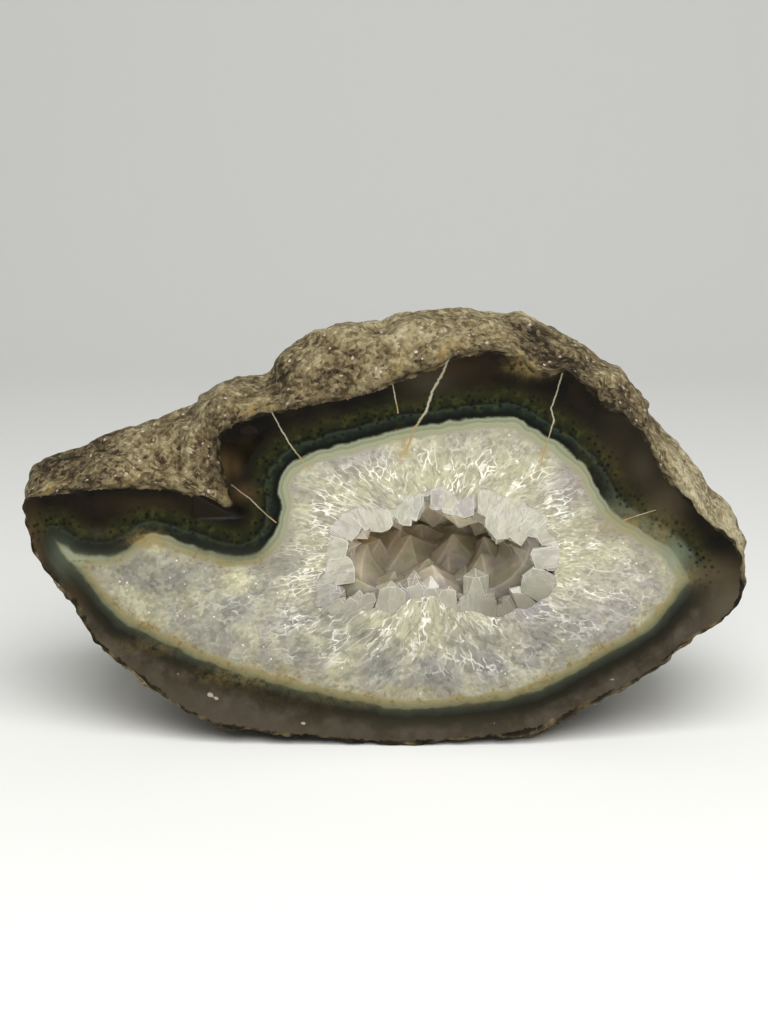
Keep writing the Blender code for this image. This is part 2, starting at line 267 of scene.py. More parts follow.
def lumps(places, size, seed):
    # smooth random lumps of one size: values at the corners of a grid of cells, blended across each cell
    corners = np.random.default_rng(seed).uniform(-1, 1, (stone["reliefCells"],) * 3)
    cell = np.floor(places / size).astype(int)
    share = places / size - cell
    share = share * share * (3 - 2 * share)
    total = np.zeros(len(places))
    for corner in np.ndindex(2, 2, 2):
        weight = np.prod(np.where(corner, share, 1 - share), axis=1)
        i, j, k = ((cell + corner) % stone["reliefCells"]).T
        total += weight * corners[i, j, k]
    return total


def relief(places, depths):
    # how far the rind stands out at each point: lumps, ridges and pits as on the solid, then the finer grain
    total = np.zeros(len(places))
    for layer, (size, height) in enumerate(stone["relief"]):
        value = lumps(places, size, stone["reliefSeed"] + layer)
        total += height * (1 - 2 * abs(value) if size == stone["ridgedSize"] else value)
    total = (total - stone["reliefMean"]) * np.clip((depths + stone["sawnRim"]) / stone["calmDepth"], 0, 1)
    for layer, (size, height) in enumerate(stone["grain"]):
        total += height * lumps(places, size, stone["grainSeed"] + layer)
    return total * np.clip((depths - stone["skin"]) / stone["rimFade"], 0, 1)


def gridNormals(grid):
    # unit normals of a ring grid from the steps along its rows and its columns
    along = np.roll(grid, -1, 1) - np.roll(grid, 1, 1)
    down = np.gradient(grid, axis=0)
    normal = np.cross(along, down)
    return normal / np.maximum(np.linalg.norm(normal, axis=-1, keepdims=True), 1e-9)


def sawnEdge():
    # the outline of the face, ragged by a small random shift at two sizes
    loop = smoothLoop(faceEdge, stone["columns"])
    along = np.column_stack([loop, np.zeros(len(loop))])
    for k, (size, height) in enumerate(stone["edgeRagged"]):
        shift = [lumps(along, size, stone["grainSeed"] + 10 * k + axis) for axis in (4, 5)]
        loop = loop + height * np.column_stack(shift)
    return loop


def chipDepth(x, z):
    # how far the broken corner by the notch falls back: flat facets, each sloping away from its crease
    depth = np.zeros(np.shape(x))
    for (px, pz), (ax, az), slope in stone["chips"]:
        depth = np.maximum(depth, slope * ((x - px) * ax + (z - pz) * az))
    (left, right), (low, high) = stone["chipReach"]
    inside = np.minimum(np.minimum(x - left, right - x), np.minimum(z - low, high - z))
    return depth * np.clip(inside / stone["chipEase"], 0, 1)


edgeLoop = sawnEdge()


def rindGrid():
    # rings from the sawn edge to the back: the face's outline flares to the shoulder's by a quarter sine,
    # then shrinks as the root of one less a power of the depth, a dome that drops as it goes back
    shoulderDepth = stone["shoulderDepth"]
    domeDepth = stone["depth"] - shoulderDepth
    front = np.linspace(0, 1, stone["frontRings"], endpoint=False) ** stone["frontGather"]
    front = stone["skin"] + front * (shoulderDepth - stone["skin"])
    turn = np.linspace(0, math.pi / 2, stone["rings"] - len(front) + 1)[:-1]
    depths = np.concatenate([front, shoulderDepth + domeDepth * np.sin(turn)])
    angle, faceRadius = polar(edgeLoop)
    spread = evened(angle)
    shoulderRadius = radiusAlong(shoulder, spread)
    flare = np.sin(np.clip(depths / shoulderDepth, 0, 1) * math.pi / 2)[:, None]
    back = np.clip((depths - shoulderDepth) / domeDepth, 0, 1)[:, None]
    direction = angle + (spread - angle) * flare
    radius = faceRadius + (shoulderRadius - faceRadius) * flare
    radius = radius * np.sqrt(1 - back ** stone["backRoundness"])
    x = stone["middle"][0] + radius * np.cos(direction)
    z = stone["middle"][1] - stone["backDrop"] * back + radius * np.sin(direction)
    y = np.broadcast_to(stone["faceY"] + depths[:, None], x.shape)
    grid = np.stack([x, y, z], -1)
    normal = gridNormals(grid)
    outward = np.sign(np.sum(normal[5, :, 0] * (x[5] - stone["middle"][0])))
    stand = relief(grid.reshape(-1, 3), np.repeat(depths, stone["columns"])).reshape(x.shape)
    grid = grid + normal * outward * stand[..., None]
    grid[..., 2] = np.maximum(grid[..., 2], 0.0)
    fade = np.clip(1 - depths / stone["chipFade"], 0, 1)[:, None]
    grid[..., 1] += chipDepth(edgeLoop[:, 0], edgeLoop[:, 1]) * fade
    return grid, stand, np.broadcast_to(depths[:, None], x.shape)


hollow = {
    "middle": (10.4, 43.3),         # of the ellipsoid that the hollow in the stone is half of
    "middleDepth": 4.0,
    "half": (27.5, 31.0, 17.5),     # its half sizes along x, y and z
}


def bowlGrid(half, rows, startDepth, angles):
    # half an ellipsoid from a given depth behind the face to its deepest point, as rings about its own axis:
    # across by the cosine of the lift and back by its sine
    hx, hy, hz = half
    start = math.asin((startDepth - hollow["middleDepth"]) / hy)
    lift = np.linspace(start, math.pi / 2, rows + 1)[:-1, None]
    x = hollow["middle"][0] + hx * np.cos(lift) * np.cos(angles)
    z = hollow["middle"][1] + hz * np.cos(lift) * np.sin(angles)
    y = np.broadcast_to(stone["faceY"] + hollow["middleDepth"] + hy * np.sin(lift), x.shape)
    pole = (hollow["middle"][0], stone["faceY"] + hollow["middleDepth"] + hy, hollow["middle"][1])
    return np.stack([x, y, z], -1), pole


# Lines on the polished face

face = {
    "quartzRows": 46,       # rows of the grid from the crystals out to the pale band's outer line
    "bandRows": 36,         # and from there to the sawn edge
    "relaxing": 3,          # passes of evening out
    "fineSteps": 2000,      # points of a loop that others are matched to
    "measureSteps": 300,    # points of a loop that distances are measured to
    "edgeWaver": 0.9,       # unevenness of the line where the clear crystals begin, mm
    "waverSize": 2.0,
    "waverSeed": 77,
    "seam": 0.02,           # the plate's back lies this far before the rind's first ring
    "growthRadius": 24.0,   # growth is drawn as on a cylinder of this radius round the hollow
    "growthFlatness": 0.62, # whose directions follow an oval of this height to its length
    "tips": ((-69.2, 46.0), (63.8, 36.9)),      # the quartz's two tips: bands differ above and below them
    "tipFade": 7.0,
}

# healed cracks: points from the rind inwards, and half width, mm
cracks = [
    ([(13.1, 84.5), (11.8, 81.0), (9.5, 76.9), (8.4, 73.0),
      (7.1, 71.1), (5.6, 68.6), (4.6, 65.2), (3.4, 63.7)], 0.26),
    ([(36.0, 80.4), (34.9, 76.3), (33.9, 73.4), (34.6, 71.1), (33.4, 66.9), (32.1, 62.2)], 0.17),
    ([(-24.1, 74.2), (-21.9, 70.0), (-19.6, 65.8), (-15.6, 60.5)], 0.16),
    ([(1.5, 78.3), (2.0, 75.6), (2.6, 72.7)], 0.14),
    ([(-31.7, 57.1), (-28.1, 54.4), (-24.4, 50.7), (-22.9, 49.5)], 0.14),
    ([(55.9, 52.0), (52.8, 51.0), (49.7, 49.9)], 0.12),
]

# darker and lighter stretches of the rind: the wide dark spots along the foot and at the low ends are painted
# shade on its underside, the light spots at the right end are painted light; x, z, half sizes and strength
rindLightAndShade = [
    (-49, 66, 16, 5, -0.13), (-36, 75, 9, 5, -0.08), (-64, 60, 8, 5, -0.06), (40, 82, 7, 4, -0.04),
    (64, 58, 7, 8, 0.26), (71, 45, 5, 8, 0.28), (28, 89, 8, 3, 0.08), (-33, 62, 3, 9, -0.04),
    (0, 87, 12, 5, -0.03), (0, 4, 60, 12, -0.2), (-68, 30, 12, 14, -0.12), (60, 14, 12, 10, -0.12),
]

# soft patches of tone on the face: x, z, half sizes and strength
patches = {
    "cream": [
        (9, 60, 12, 7, 1.2), (27, 61, 9, 8, 0.9), (-30, 37, 3.2, 1.8, 1.3), (38, 44, 10, 8, 1),
        (3, 28, 12, 5, 0.5), (12, 28, 9, 5, 0.7), (-14, 47, 8, 7, 0.6), (-8, 56, 6, 6, 0.4),
        (46, 36, 8, 5, 0.6)],
    "dim": [
        (24, 24, 10, 5, 0.7), (33, 26, 6, 4, 0.6), (-54, 38, 9, 6, 0.8), (-44, 34, 8, 5, 0.5),
        (-2, 22, 8, 4, 0.5), (-20, 22, 10, 4, 0.4), (10, 14, 16, 3, 0.4)],
    "lilac": [
        (29, 31.5, 5, 4.5, 1.4), (-4, 63, 9, 3, 0.7), (45, 33, 8, 8, 0.7), (-24, 27, 10, 6, 0.35),
        (12, 17, 14, 4, 0.3), (38, 58, 4, 8, 0.8), (-2, 51, 4, 3, 0.6), (54, 36, 5, 4, 0.6),
        (27, 22, 8, 5, 0.4)],
    "ochre": [
        (-49.6, 46, 3.2, 1.4, 1.2), (-49, 44.2, 4, 1.6, 0.9), (-42.1, 31.5, 2.6, 2.6, 0.3),
        (-44, 22.5, 14, 2, 0.3), (-25, 16, 12, 2.4, 0.8), (0, 11.5, 16, 2.2, 0.6), (48, 49, 6, 3, 0.8),
        (3.6, 64.8, 1.6, 3, 0.9), (32.3, 63, 1.2, 2.2, 0.9), (30.3, 82.3, 4.2, 1.8, 1.3),
        (56, 45, 4, 5, 0.5), (40, 57, 2, 5, 0.5), (62, 38, 3, 2, 0.7)],
    "glow": [
        (-50, 53.5, 9, 1.6, 0.2), (17, 82, 11, 2.5, 0.15), (58, 52, 4, 9, 0.15), (69, 38, 6, 4, 0.25),
        (-74, 44, 2.5, 9, 0.8), (-66, 31, 3, 5, 0.5), (47, 62, 3, 6, 0.2), (-33.3, 61, 1.4, 3, 0.9),
        (-30.8, 61, 1.2, 2, 0.6), (-29.3, 55.7, 2.6, 1.8, 0.9)],
    "celadon": [
        (54, 48, 4, 3, 0.4), (60, 42, 4, 5, 0.75), (48, 52, 4, 3, 0.3), (-68, 41, 3, 5, 0.25)],
    "haze": [
        (58, 53, 4, 5, 0.35), (67, 38.5, 6, 3, 0.5), (72, 32, 4, 6, 0.3), (48, 68, 6, 6, 0.1),
        (9, 79, 5, 3, 0.25), (53, 61, 3, 4, 0.25), (4, 4, 40, 3, 0.15)],
    "tipHaze": [
        (-65, 42.6, 4.5, 3, 1.2), (-57, 42.2, 6, 1.5, 0.8), (61, 40.5, 2.5, 3.5, 0.8),
        (55, 46.5, 3, 2.5, 0.6)],
    "pale": [
        (-37.2, 11.6, 0.7, 0.5, 1.3), (-35.9, 10.8, 0.6, 0.4, 1.2), (-17.4, 5.2, 0.6, 0.4, 1.1),
        (-44, 16.4, 0.5, 0.4, 0.9), (23, 5.2, 0.5, 0.4, 0.9), (10.7, 52.9, 0.8, 0.8, 1.2),
        (48, 15, 0.7, 0.4, 1)],
}


def distanceToPath(points, path, closed=False):
    # for each point: distance to the nearest stretch of the path, which side it lies on, and how far along
    path = np.asarray(path, float)
    ends = np.roll(path, -1, 0) if closed else path[1:]
    starts = path if closed else path[:-1]
    lengths = np.linalg.norm(ends - starts, axis=1)
    walked = np.concatenate([[0], np.cumsum(lengths)])
    best = np.full(len(points), 1e9)
    side = np.zeros(len(points))
    along = np.zeros(len(points))
    for k, (a, b) in enumerate(zip(starts, ends)):
        ab = (b - a) / lengths[k]
        ap = points - a
        t = np.clip(ap @ ab, 0, lengths[k])
        d = np.linalg.norm(ap - t[:, None] * ab, axis=1)
        nearer = d < best
        best[nearer] = d[nearer]
        side[nearer] = (ap @ np.array([-ab[1], ab[0]]))[nearer]
        along[nearer] = (walked[k] + t[nearer]) / walked[-1]
    return best, side, along


def matched(loop, anchors, columns):
    # a loop resampled so that given points of it fall on given columns, with even steps between them
    closed = np.vstack([loop, loop[:1]])
    walked = np.concatenate([[0], np.cumsum(np.linalg.norm(np.diff(closed, axis=0), axis=1))])
    marks = []
    for column, target in anchors:
        marks.append((column, walked[np.argmin(np.linalg.norm(loop - np.array(target), axis=1))]))
    at = np.array([m[0] for m in marks] + [marks[0][0] + columns], float)
    place = np.unwrap(np.array([m[1] for m in marks]), period=walked[-1])
    place = np.append(place, place[0] + walked[-1])
    stations = np.interp(np.arange(columns) + np.where(np.arange(columns) < at[0], columns, 0), at, place)
    return np.stack([np.interp(np.mod(stations, walked[-1]), walked, closed[:, k]) for k in (0, 1)], 1)


# half way through the quartz, a loop that keeps inside the long left wing
halfway = [
    (-64.0, 40.6), (-60.0, 36.8), (-50.0, 32.5), (-40.0, 28.5), (-30.0, 25.5), (-18.0, 22.5),
    (-6.0, 21.0), (10.0, 20.5), (28.0, 23.0), (42.0, 29.5), (49.0, 37.0), (43.0, 46.5),
    (34.5, 55.5), (25.0, 61.5), (10.0, 62.0), (-2.0, 59.8), (-12.0, 55.5), (-17.5, 48.5),
    (-21.5, 43.4), (-28.0, 40.9), (-34.0, 40.5), (-42.0, 40.6), (-50.0, 40.7), (-57.0, 41.0), (-62.0, 41.2),
]

# round the hollow, the line where milky quartz gives way to clear crystals
clearEdge = [
    (-14.5, 36.0), (-14.5, 32.5), (-11.0, 29.5), (-5.0, 31.0), (1.0, 30.0), (6.5, 32.5), (11.0, 33.0),
    (14.5, 30.0), (18.5, 30.8), (23.0, 28.8), (28.5, 30.5), (34.5, 35.0), (36.0, 41.0), (34.5, 47.5),
    (30.5, 52.5), (25.0, 54.0), (20.5, 56.0), (15.5, 55.0), (11.0, 57.0), (5.0, 55.5), (0.0, 52.0),
    (-6.5, 52.0), (-11.0, 49.0), (-11.5, 44.0), (-12.5, 39.6), (-13.5, 38.0),
]

# points on one line of growth: on the sawn edge, the pale band, the loop half way and the clear crystals
growthLines = [
    ((-75.0, 53.0), (-69.2, 46.0), (-64.0, 40.6), (-14.5, 36.0)),
    ((-61.5, 24.0), (-55.4, 27.5), (-50.0, 32.5), (-14.5, 32.5)),
    ((-35.3, 5.0), (-33.9, 16.9), (-30.0, 25.5), (-11.0, 29.5)),
    ((-11.0, 1.7), (-8.0, 10.0), (-6.0, 21.0), (-5.0, 31.0)),
    ((34.5, 5.0), (32.6, 12.3), (28.0, 23.0), (23.0, 28.8)),
    ((73.5, 31.0), (63.8, 36.9), (49.0, 37.0), (36.0, 41.0)),
    ((55.6, 63.2), (44.9, 55.1), (34.5, 55.5), (30.5, 52.5)),
    ((33.4, 80.6), (29.5, 69.5), (25.0, 61.5), (20.5, 56.0)),
    ((-2.6, 77.4), (-2.0, 68.0), (-2.0, 59.8), (0.0, 52.0)),
    ((-32.2, 53.0), (-24.0, 45.8), (-21.5, 43.4), (-11.0, 49.0)),
    ((-40.5, 55.6), (-35.0, 42.2), (-34.0, 40.5), (-12.5, 39.6)),
    ((-54.0, 57.2), (-49.6, 46.5), (-50.0, 40.7), (-13.5, 38.0)),
    ((-68.0, 55.7), (-64.1, 43.0), (-62.0, 41.2), (-14.0, 36.9)),
]


def clearEdgeLoop():
    # the listed loop with a small random waver, the same wherever two stretches come close
    loop = smoothLoop(clearEdge, stone["columns"])
    along = np.column_stack([loop, np.zeros(len(loop))])
    shift = [lumps(along, face["waverSize"], face["waverSeed"] + axis) for axis in (0, 1)]
    return loop + face["edgeWaver"] * np.column_stack(shift)


def faceLoops():
    # loops whose points lie on the same lines of growth: the crystals' edge, half way out, the pale band
    edge = [int(np.argmin(np.linalg.norm(edgeLoop - np.array(line[0]), axis=1))) for line in growthLines]
    middle, band = (smoothLoop(points, face["fineSteps"]) for points in (halfway, quartzEdge))
    loops = []
    for k, loop in ((3, clearEdgeLoop()), (2, middle), (1, band)):
        anchors = [(column, line[k]) for column, line in zip(edge, growthLines)]
        loops.append(matched(loop, anchors, stone["columns"]))
    return loops


def buildRind(materials):
    # one closed body: back pole, rings of rind out to the sawn edge, a flat behind the face, then the bowl
    grid, stand, depths = rindGrid()
    columns = stone["columns"]
    inner, between, band = faceLoops()
    flat = [np.insert(loop, 1, stone["faceY"] + stone["flatDepth"], axis=1) for loop in (band, between)]
    angle = np.arctan2(inner[:, 1] - hollow["middle"][1], inner[:, 0] - hollow["middle"][0])
    angle = evened(np.unwrap(angle))
    bowl, bowlPole = bowlGrid(hollow["half"], stone["bowlRows"], stone["flatDepth"], angle[None, :])
    backPole = (stone["middle"][0], stone["faceY"] + stone["depth"], stone["middle"][1] - stone["backDrop"])
    rows = np.concatenate([grid[::-1], flat, bowl])
    points = np.concatenate([rows.reshape(-1, 3), [backPole, bowlPole]])
    faces = gridFaces(len(rows), columns)
    faces += fanFaces(0, len(points) - 2, columns, flip=True)
    faces += fanFaces((len(rows) - 1) * columns, len(points) - 1, columns)
    inBowl = np.repeat(np.arange(len(rows) - 1) > len(grid), columns)
    slot = np.concatenate([inBowl, np.zeros(columns), np.ones(columns)])
    piece = meshPiece("roughRind", points, faces, materials, slot, smooth=True)
    extra = np.zeros((len(flat) + len(bowl)) * columns + 2)
    storeOnPoints(piece, "stand", np.concatenate([stand[::-1].ravel(), extra]))
    storeOnPoints(piece, "behindFace", np.concatenate([depths[::-1].ravel(), extra]))
    # painted light and shade on the rind, from the spots of light and shade above
    storeOnPoints(piece, "shade", softSpots(rindLightAndShade, points[:, 0], points[:, 2]))
    print("rind:", len(points), "points")
    return piece


def softSpots(spots, x, z):
    # a sum of soft round spots: each is its strength times exp of minus the squared distance in half sizes
    return sum(s * np.exp(-((x - px) / a) ** 2 - ((z - pz) / b) ** 2) for px, pz, a, b, s in spots)


# The polished face

def buildFace(materials):
    # a thin plate: rows run between loops from the crystals to the pale band and on to the sawn edge,
    # and inside the band each point moves to the mean of its four neighbours a few times
    columns = stone["columns"]
    inner, between, band = faceLoops()
    share = np.linspace(0, 1, face["quartzRows"] // 2 + 1)[:-1, None, None]
    outerShare = np.linspace(0, 1, face["bandRows"])[:, None, None]
    near = inner + (between - inner) * share
    quartz = np.concatenate([near, between + (band - between) * share, band[None]])
    for _ in range(face["relaxing"]):
        beside = np.roll(quartz, 1, 1)[1:-1] + np.roll(quartz, -1, 1)[1:-1]
        quartz[1:-1] = (quartz[:-2] + quartz[2:] + beside) / 4
    flat = np.concatenate([quartz[:-1], band + (edgeLoop - band) * outerShare])
    front = stone["faceY"] + chipDepth(flat[..., 0], flat[..., 1])
    rows = np.stack([flat[..., 0], front, flat[..., 1]], -1)
    back = rows[[-1, 0]] + np.array([0, stone["skin"] - face["seam"], 0])
    grid = np.concatenate([rows, back, rows[:1]])
    points = grid.reshape(-1, 3)
    faces = gridFaces(len(grid), columns)
    piece = meshPiece("polishedFace", points, faces, materials)
    xz = points[:, [0, 2]]
    fromBand = distanceToPath(xz, smoothLoop(quartzEdge, face["measureSteps"]), closed=True)[0]
    fromRim = distanceToPath(xz, smoothLoop(faceEdge, face["measureSteps"]), closed=True)[0]
    rowOf = np.repeat(np.arange(len(grid)), columns)
    inside = (rowOf < 2 * len(share)) | (rowOf > len(rows))
    storeOnPoints(piece, "bandMm", np.where(inside, -fromBand, fromBand))
    storeOnPoints(piece, "sideWall", (rowOf == len(rows)).astype(float))
    storeOnPoints(piece, "rimMm", fromRim)
    fromHollow = distanceToPath(xz, np.array(hollowEdge), closed=True)[0]
    storeOnPoints(piece, "hollowMm", fromHollow)
    offset = xz - np.array(hollow["middle"])
    turn = np.arctan2(offset[:, 1], offset[:, 0] * face["growthFlatness"])
    ringed = face["growthRadius"] * np.stack([np.cos(turn), np.sin(turn)], 1)
    storeOnPoints(piece, "growth", np.column_stack([ringed, fromHollow]))
    for name, spots in patches.items():
        storeOnPoints(piece, name, np.clip(softSpots(spots, xz[:, 0], xz[:, 1]), 0, 1.5))
    (leftX, leftZ), (rightX, rightZ) = face["tips"]
    tipLine = leftZ + (xz[:, 0] - leftX) * (rightZ - leftZ) / (rightX - leftX)
    storeOnPoints(piece, "under", np.clip((tipLine - xz[:, 1]) / face["tipFade"] + 0.5, 0, 1))
    nearest = np.full(len(points), 1e9)
    crack = np.zeros((len(points), 3))
    for path, halfWidth in cracks:
        near, side, along = distanceToPath(xz, path)
        closer = near < nearest
        nearest[closer] = near[closer]
        crack[closer] = np.stack([side / halfWidth, near / halfWidth, along], 1)[closer]
    storeOnPoints(piece, "crack", crack)
    print("face:", len(points), "points")
    return piece


# The crystals

crystals = {
    "mouth": [  # tip x, tip z, depth of the axis behind the face, radius, height of the point to the radius
        (-5.1, 46.5, 0.5, 3, 0.6), (-0.2, 46.7, 0.4, 3.3, 0.6), (4, 48.1, 0.8, 1.9, 0.7),
        (6.3, 49.2, 1.2, 1.5, 0.7), (10.6, 51.4, 0.4, 1.5, 0.9), (13.2, 50.4, 0.6, 2, 0.7),
        (16.6, 49.6, 0.5, 2.8, 0.7), (23.2, 44, 0.5, 4.2, 1.1), (28.2, 46.2, 0.6, 2.9, 0.7),
        (29.8, 41.5, 0.5, 3, 0.5), (28.2, 37.6, 0.5, 3.5, 0.55), (22, 33.8, 0.6, 1.9, 0.8),
        (18.9, 38.4, 2.6, 3.5, 0.5), (13.5, 35.3, 0.4, 2.3, 0.5), (9.6, 37.4, 0.8, 2.5, 1.1),
        (6.3, 37.6, 1, 2.2, 1.2), (1.3, 36.2, 0.5, 3.6, 0.55), (-2.4, 34, 0.5, 1.7, 0.8),
        (-5.6, 32.9, 0.6, 1.9, 0.6), (-8, 34.9, 0.8, 1.8, 1), (-9.4, 36.6, 0.6, 2.3, 0.5),
        (-6.2, 39.6, 0.5, 3.3, 0.45), (-7.4, 43.6, 0.7, 2.4, 0.6),
    ],
    "aim": ((2.0, 41.6), (22.6, 40.2)),
    "rootsAt": 10.0,            # how far a crystal runs back behind its point
    "fillers": 58,              # smaller crystals packed between and behind those
    "fillerBack": (0.8, 3.4),   # how far their points stay back from the mouth's edge
    "fillerRadius": (1.7, 3.0),
    "fillerDepth": (0.3, 2.4),
    "fillerPoint": 0.7,
    "behind": 26,               # a second row deeper in
    "behindDepth": (4.0, 9.0),
    "behindRadius": (2.6, 4.4),
    "sunk": 0.45,               # depth of a crystal's tip behind the polish, to its radius
    "leanIn": (0.05, 0.4),      # how much a crystal leans into the hollow
    "sawn": 0.1,                # the first sawn end, behind the polish
    "sawStep": 0.002,           # each sawn crystal ends this much further back than the last
    "edge": 0.13,               # width of the border of each crystal face, painted white as frost and painted highlight
    "edgeRise": 0.03,           # and how far a face stands proud of it
    "leastFace": 1.6,           # a face narrower than this many borders has none
    "girth": (0.86, 1.08),      # reach of a prism's corners to its radius
    "alternate": 0.3,           # unlikeness of neighbouring point faces, to the point's height
    "uneven": 0.18,             # and by chance
    "offCentre": 0.2,           # shift of the tip to one side, to the radius
    "seed": 7,
}


def crystalPoints(tips, axes, radii, rolls, roots, slopes, chance):
    # six-sided prisms, all at once: a base ring, a shoulder ring of uneven heights and a tip off centre,
    # where a ring is the radius times cosine and sine across the axis
    n = len(tips)
    angle = np.arange(6) * math.pi / 3 + rolls[:, None]
    helper = np.where(abs(axes[:, 2:3]) < 0.9, np.array([[0, 0, 1.0]]), np.array([[1.0, 0, 0]]))
    u = np.cross(helper, axes)
    u /= np.linalg.norm(u, axis=1, keepdims=True)
    v = np.cross(axes, u)
    ring = np.cos(angle)[..., None] * u[:, None] + np.sin(angle)[..., None] * v[:, None]
    ring = ring * radii[:, None, None] * chance.uniform(*crystals["girth"], (n, 6, 1))
    uneven = 1 + crystals["alternate"] * (np.arange(6) % 2 - 0.5)
    uneven = uneven + chance.uniform(-crystals["uneven"], crystals["uneven"], (n, 6))
    drop = (slopes * radii)[:, None] * uneven
    side = chance.uniform(-crystals["offCentre"], crystals["offCentre"], (n, 2)) * radii[:, None]
    middle = tips[:, None] - side[:, :1, None] * u[:, None] - side[:, 1:, None] * v[:, None]
    shoulderRing = middle + ring - axes[:, None] * drop[..., None]
    baseRing = middle + ring - axes[:, None] * (roots + radii)[:, None, None]
    return np.concatenate([baseRing, shoulderRing, tips[:, None]], axis=1)


# one crystal's faces: base, six sides and six sloping faces
crystalFaces = [(5, 4, 3, 2, 1, 0)]
crystalFaces += [(k, (k + 1) % 6, (k + 1) % 6 + 6, k + 6) for k in range(6)]
crystalFaces += [(k + 6, (k + 1) % 6 + 6, 12) for k in range(6)]


def sawnCrystal(corners, cut):
    # one closed crystal sawn flat behind the polish, each face raised a little inside a narrow border painted
    # white
    bm = bmesh.new()
    verts = [bm.verts.new(p) for p in corners]
    for corner in crystalFaces:
        bm.faces.new([verts[k] for k in corner])
    bmesh.ops.recalc_face_normals(bm, faces=bm.faces[:])
    if corners[:, 1].min() < cut:
        everything = bm.verts[:] + bm.edges[:] + bm.faces[:]
        bmesh.ops.bisect_plane(bm, geom=everything, plane_co=(0, cut, 0), plane_no=(0, -1, 0),
                               clear_outer=True)
        bmesh.ops.holes_fill(bm, edges=[e for e in bm.edges if e.is_boundary], sides=0)
    least = crystals["leastFace"] * crystals["edge"]
    wide = [f for f in bm.faces if 2 * f.calc_area() / f.calc_perimeter() > least]
    whole = set(wide)
    bmesh.ops.inset_individual(bm, faces=wide, thickness=crystals["edge"], depth=crystals["edgeRise"],
                               use_even_offset=True)
    bm.verts.index_update()
    points = np.array([v.co[:] for v in bm.verts])
    faces = [[v.index for v in f.verts] for f in bm.faces]
    border = [f not in whole for f in bm.faces]
    bm.free()
    return points, faces, border


def crystalPiece(name, crystalCorners, materials, chance):
    # all crystals as one mesh; each point knows its crystal's tint and its place along and across the crystal
    points, faces, border, tint, grown = [], [], [], [], []
    start = 0
    for k, corners in enumerate(crystalCorners):
        cut = stone["faceY"] + crystals["sawn"] + crystals["sawStep"] * k
        own, ownFaces, ownBorder = sawnCrystal(corners, cut)
        axis = corners[12] - corners[:6].mean(axis=0)
        axis /= np.linalg.norm(axis)
        across = np.cross(axis, corners[0] - corners[3])
        across /= np.linalg.norm(across)
        offset = corners[12] - own
        grown.append(np.stack([offset @ across, offset @ np.cross(axis, across), offset @ axis], 1))
        tint.append(np.full(len(own), chance.uniform(0, 1)))
        points.append(own)
        faces += [[start + i for i in f] for f in ownFaces]
        border += ownBorder
        start += len(own)
    piece = meshPiece(name, np.concatenate(points), faces, materials, border)
    storeOnPoints(piece, "tint", np.concatenate(tint))
    storeOnPoints(piece, "grown", np.concatenate(grown))
    return piece


def mouthCrystals(chance):
    # the large crystals at the mouth, fillers between them and a second row deeper in:
    # all of them point at the nearest place on the hollow's long axis
    table = np.array(crystals["mouth"])
    (x0, z0), (x1, z1) = crystals["aim"]
    path = evenSteps(np.array(hollowEdge, float), crystals["fillers"])
    away = path - np.array(hollow["middle"])
    away /= np.linalg.norm(away, axis=1, keepdims=True)
    count = len(path)
    path = path + away * chance.uniform(*crystals["fillerBack"], (count, 1))
    fillerRadius = chance.uniform(*crystals["fillerRadius"], count)
    point = np.full(count, crystals["fillerPoint"])
    filler = np.column_stack([path, chance.uniform(*crystals["fillerDepth"], count), fillerRadius, point])
    second = evenSteps(np.array(hollowEdge, float), crystals["behind"])
    rest = [chance.uniform(*crystals[name], len(second)) for name in ("behindDepth", "behindRadius")]
    back = np.column_stack([second, *rest, np.full(len(second), crystals["fillerPoint"])])
    table = np.concatenate([table, filler, back])
    share = np.clip((table[:, 0] - x0) / (x1 - x0), 0, 1)
    aim = np.stack([x0 + (x1 - x0) * share, z0 + (z1 - z0) * share], 1)
    inward = aim - table[:, :2]
    lean = chance.uniform(*crystals["leanIn"], len(table)) * np.linalg.norm(inward, axis=1)
    axes = np.stack([inward[:, 0], lean, inward[:, 1]], 1)
    axes /= np.linalg.norm(axes, axis=1, keepdims=True)
    depth = table[:, 2] + crystals["sunk"] * table[:, 3]
    tips = np.stack([table[:, 0], stone["faceY"] + depth, table[:, 1]], 1)
    rolls = chance.uniform(0, math.pi / 3, len(table))
    roots = np.full(len(table), crystals["rootsAt"])
    return crystalPoints(tips, axes, table[:, 3], rolls, roots, table[:, 4], chance)


druse = {
    "thickness": 6.8,           # from the hollow's wall to the foot of the points
    "rimDepth": 1.0,            # the lining starts this far behind the face
    "columns": 360,
    "rows": 110,
    "points": 46,
    "tipHeight": (2.4, 8.0),    # of a point over its foot
    "slope": (0.5, 0.95),       # fall of a crystal face per mm away from its tip
    "spread": 13.0,             # a crystal has no say further off than this
    "growIn": 3.0,              # the points reach full height this far behind the face
    "shallowest": 0.02,         # the first point's place, to the bowl's depth
    "stray": 0.25,              # how far a point strays round the bowl from its even place, radians
    "behindGap": 0.2,           # between the lining's back and the stone
    "ridgeHighlight": 0.25,              # how unlike two faces' heights are at the rim of the painted highlight along a ridge
    "seed": 19,
}


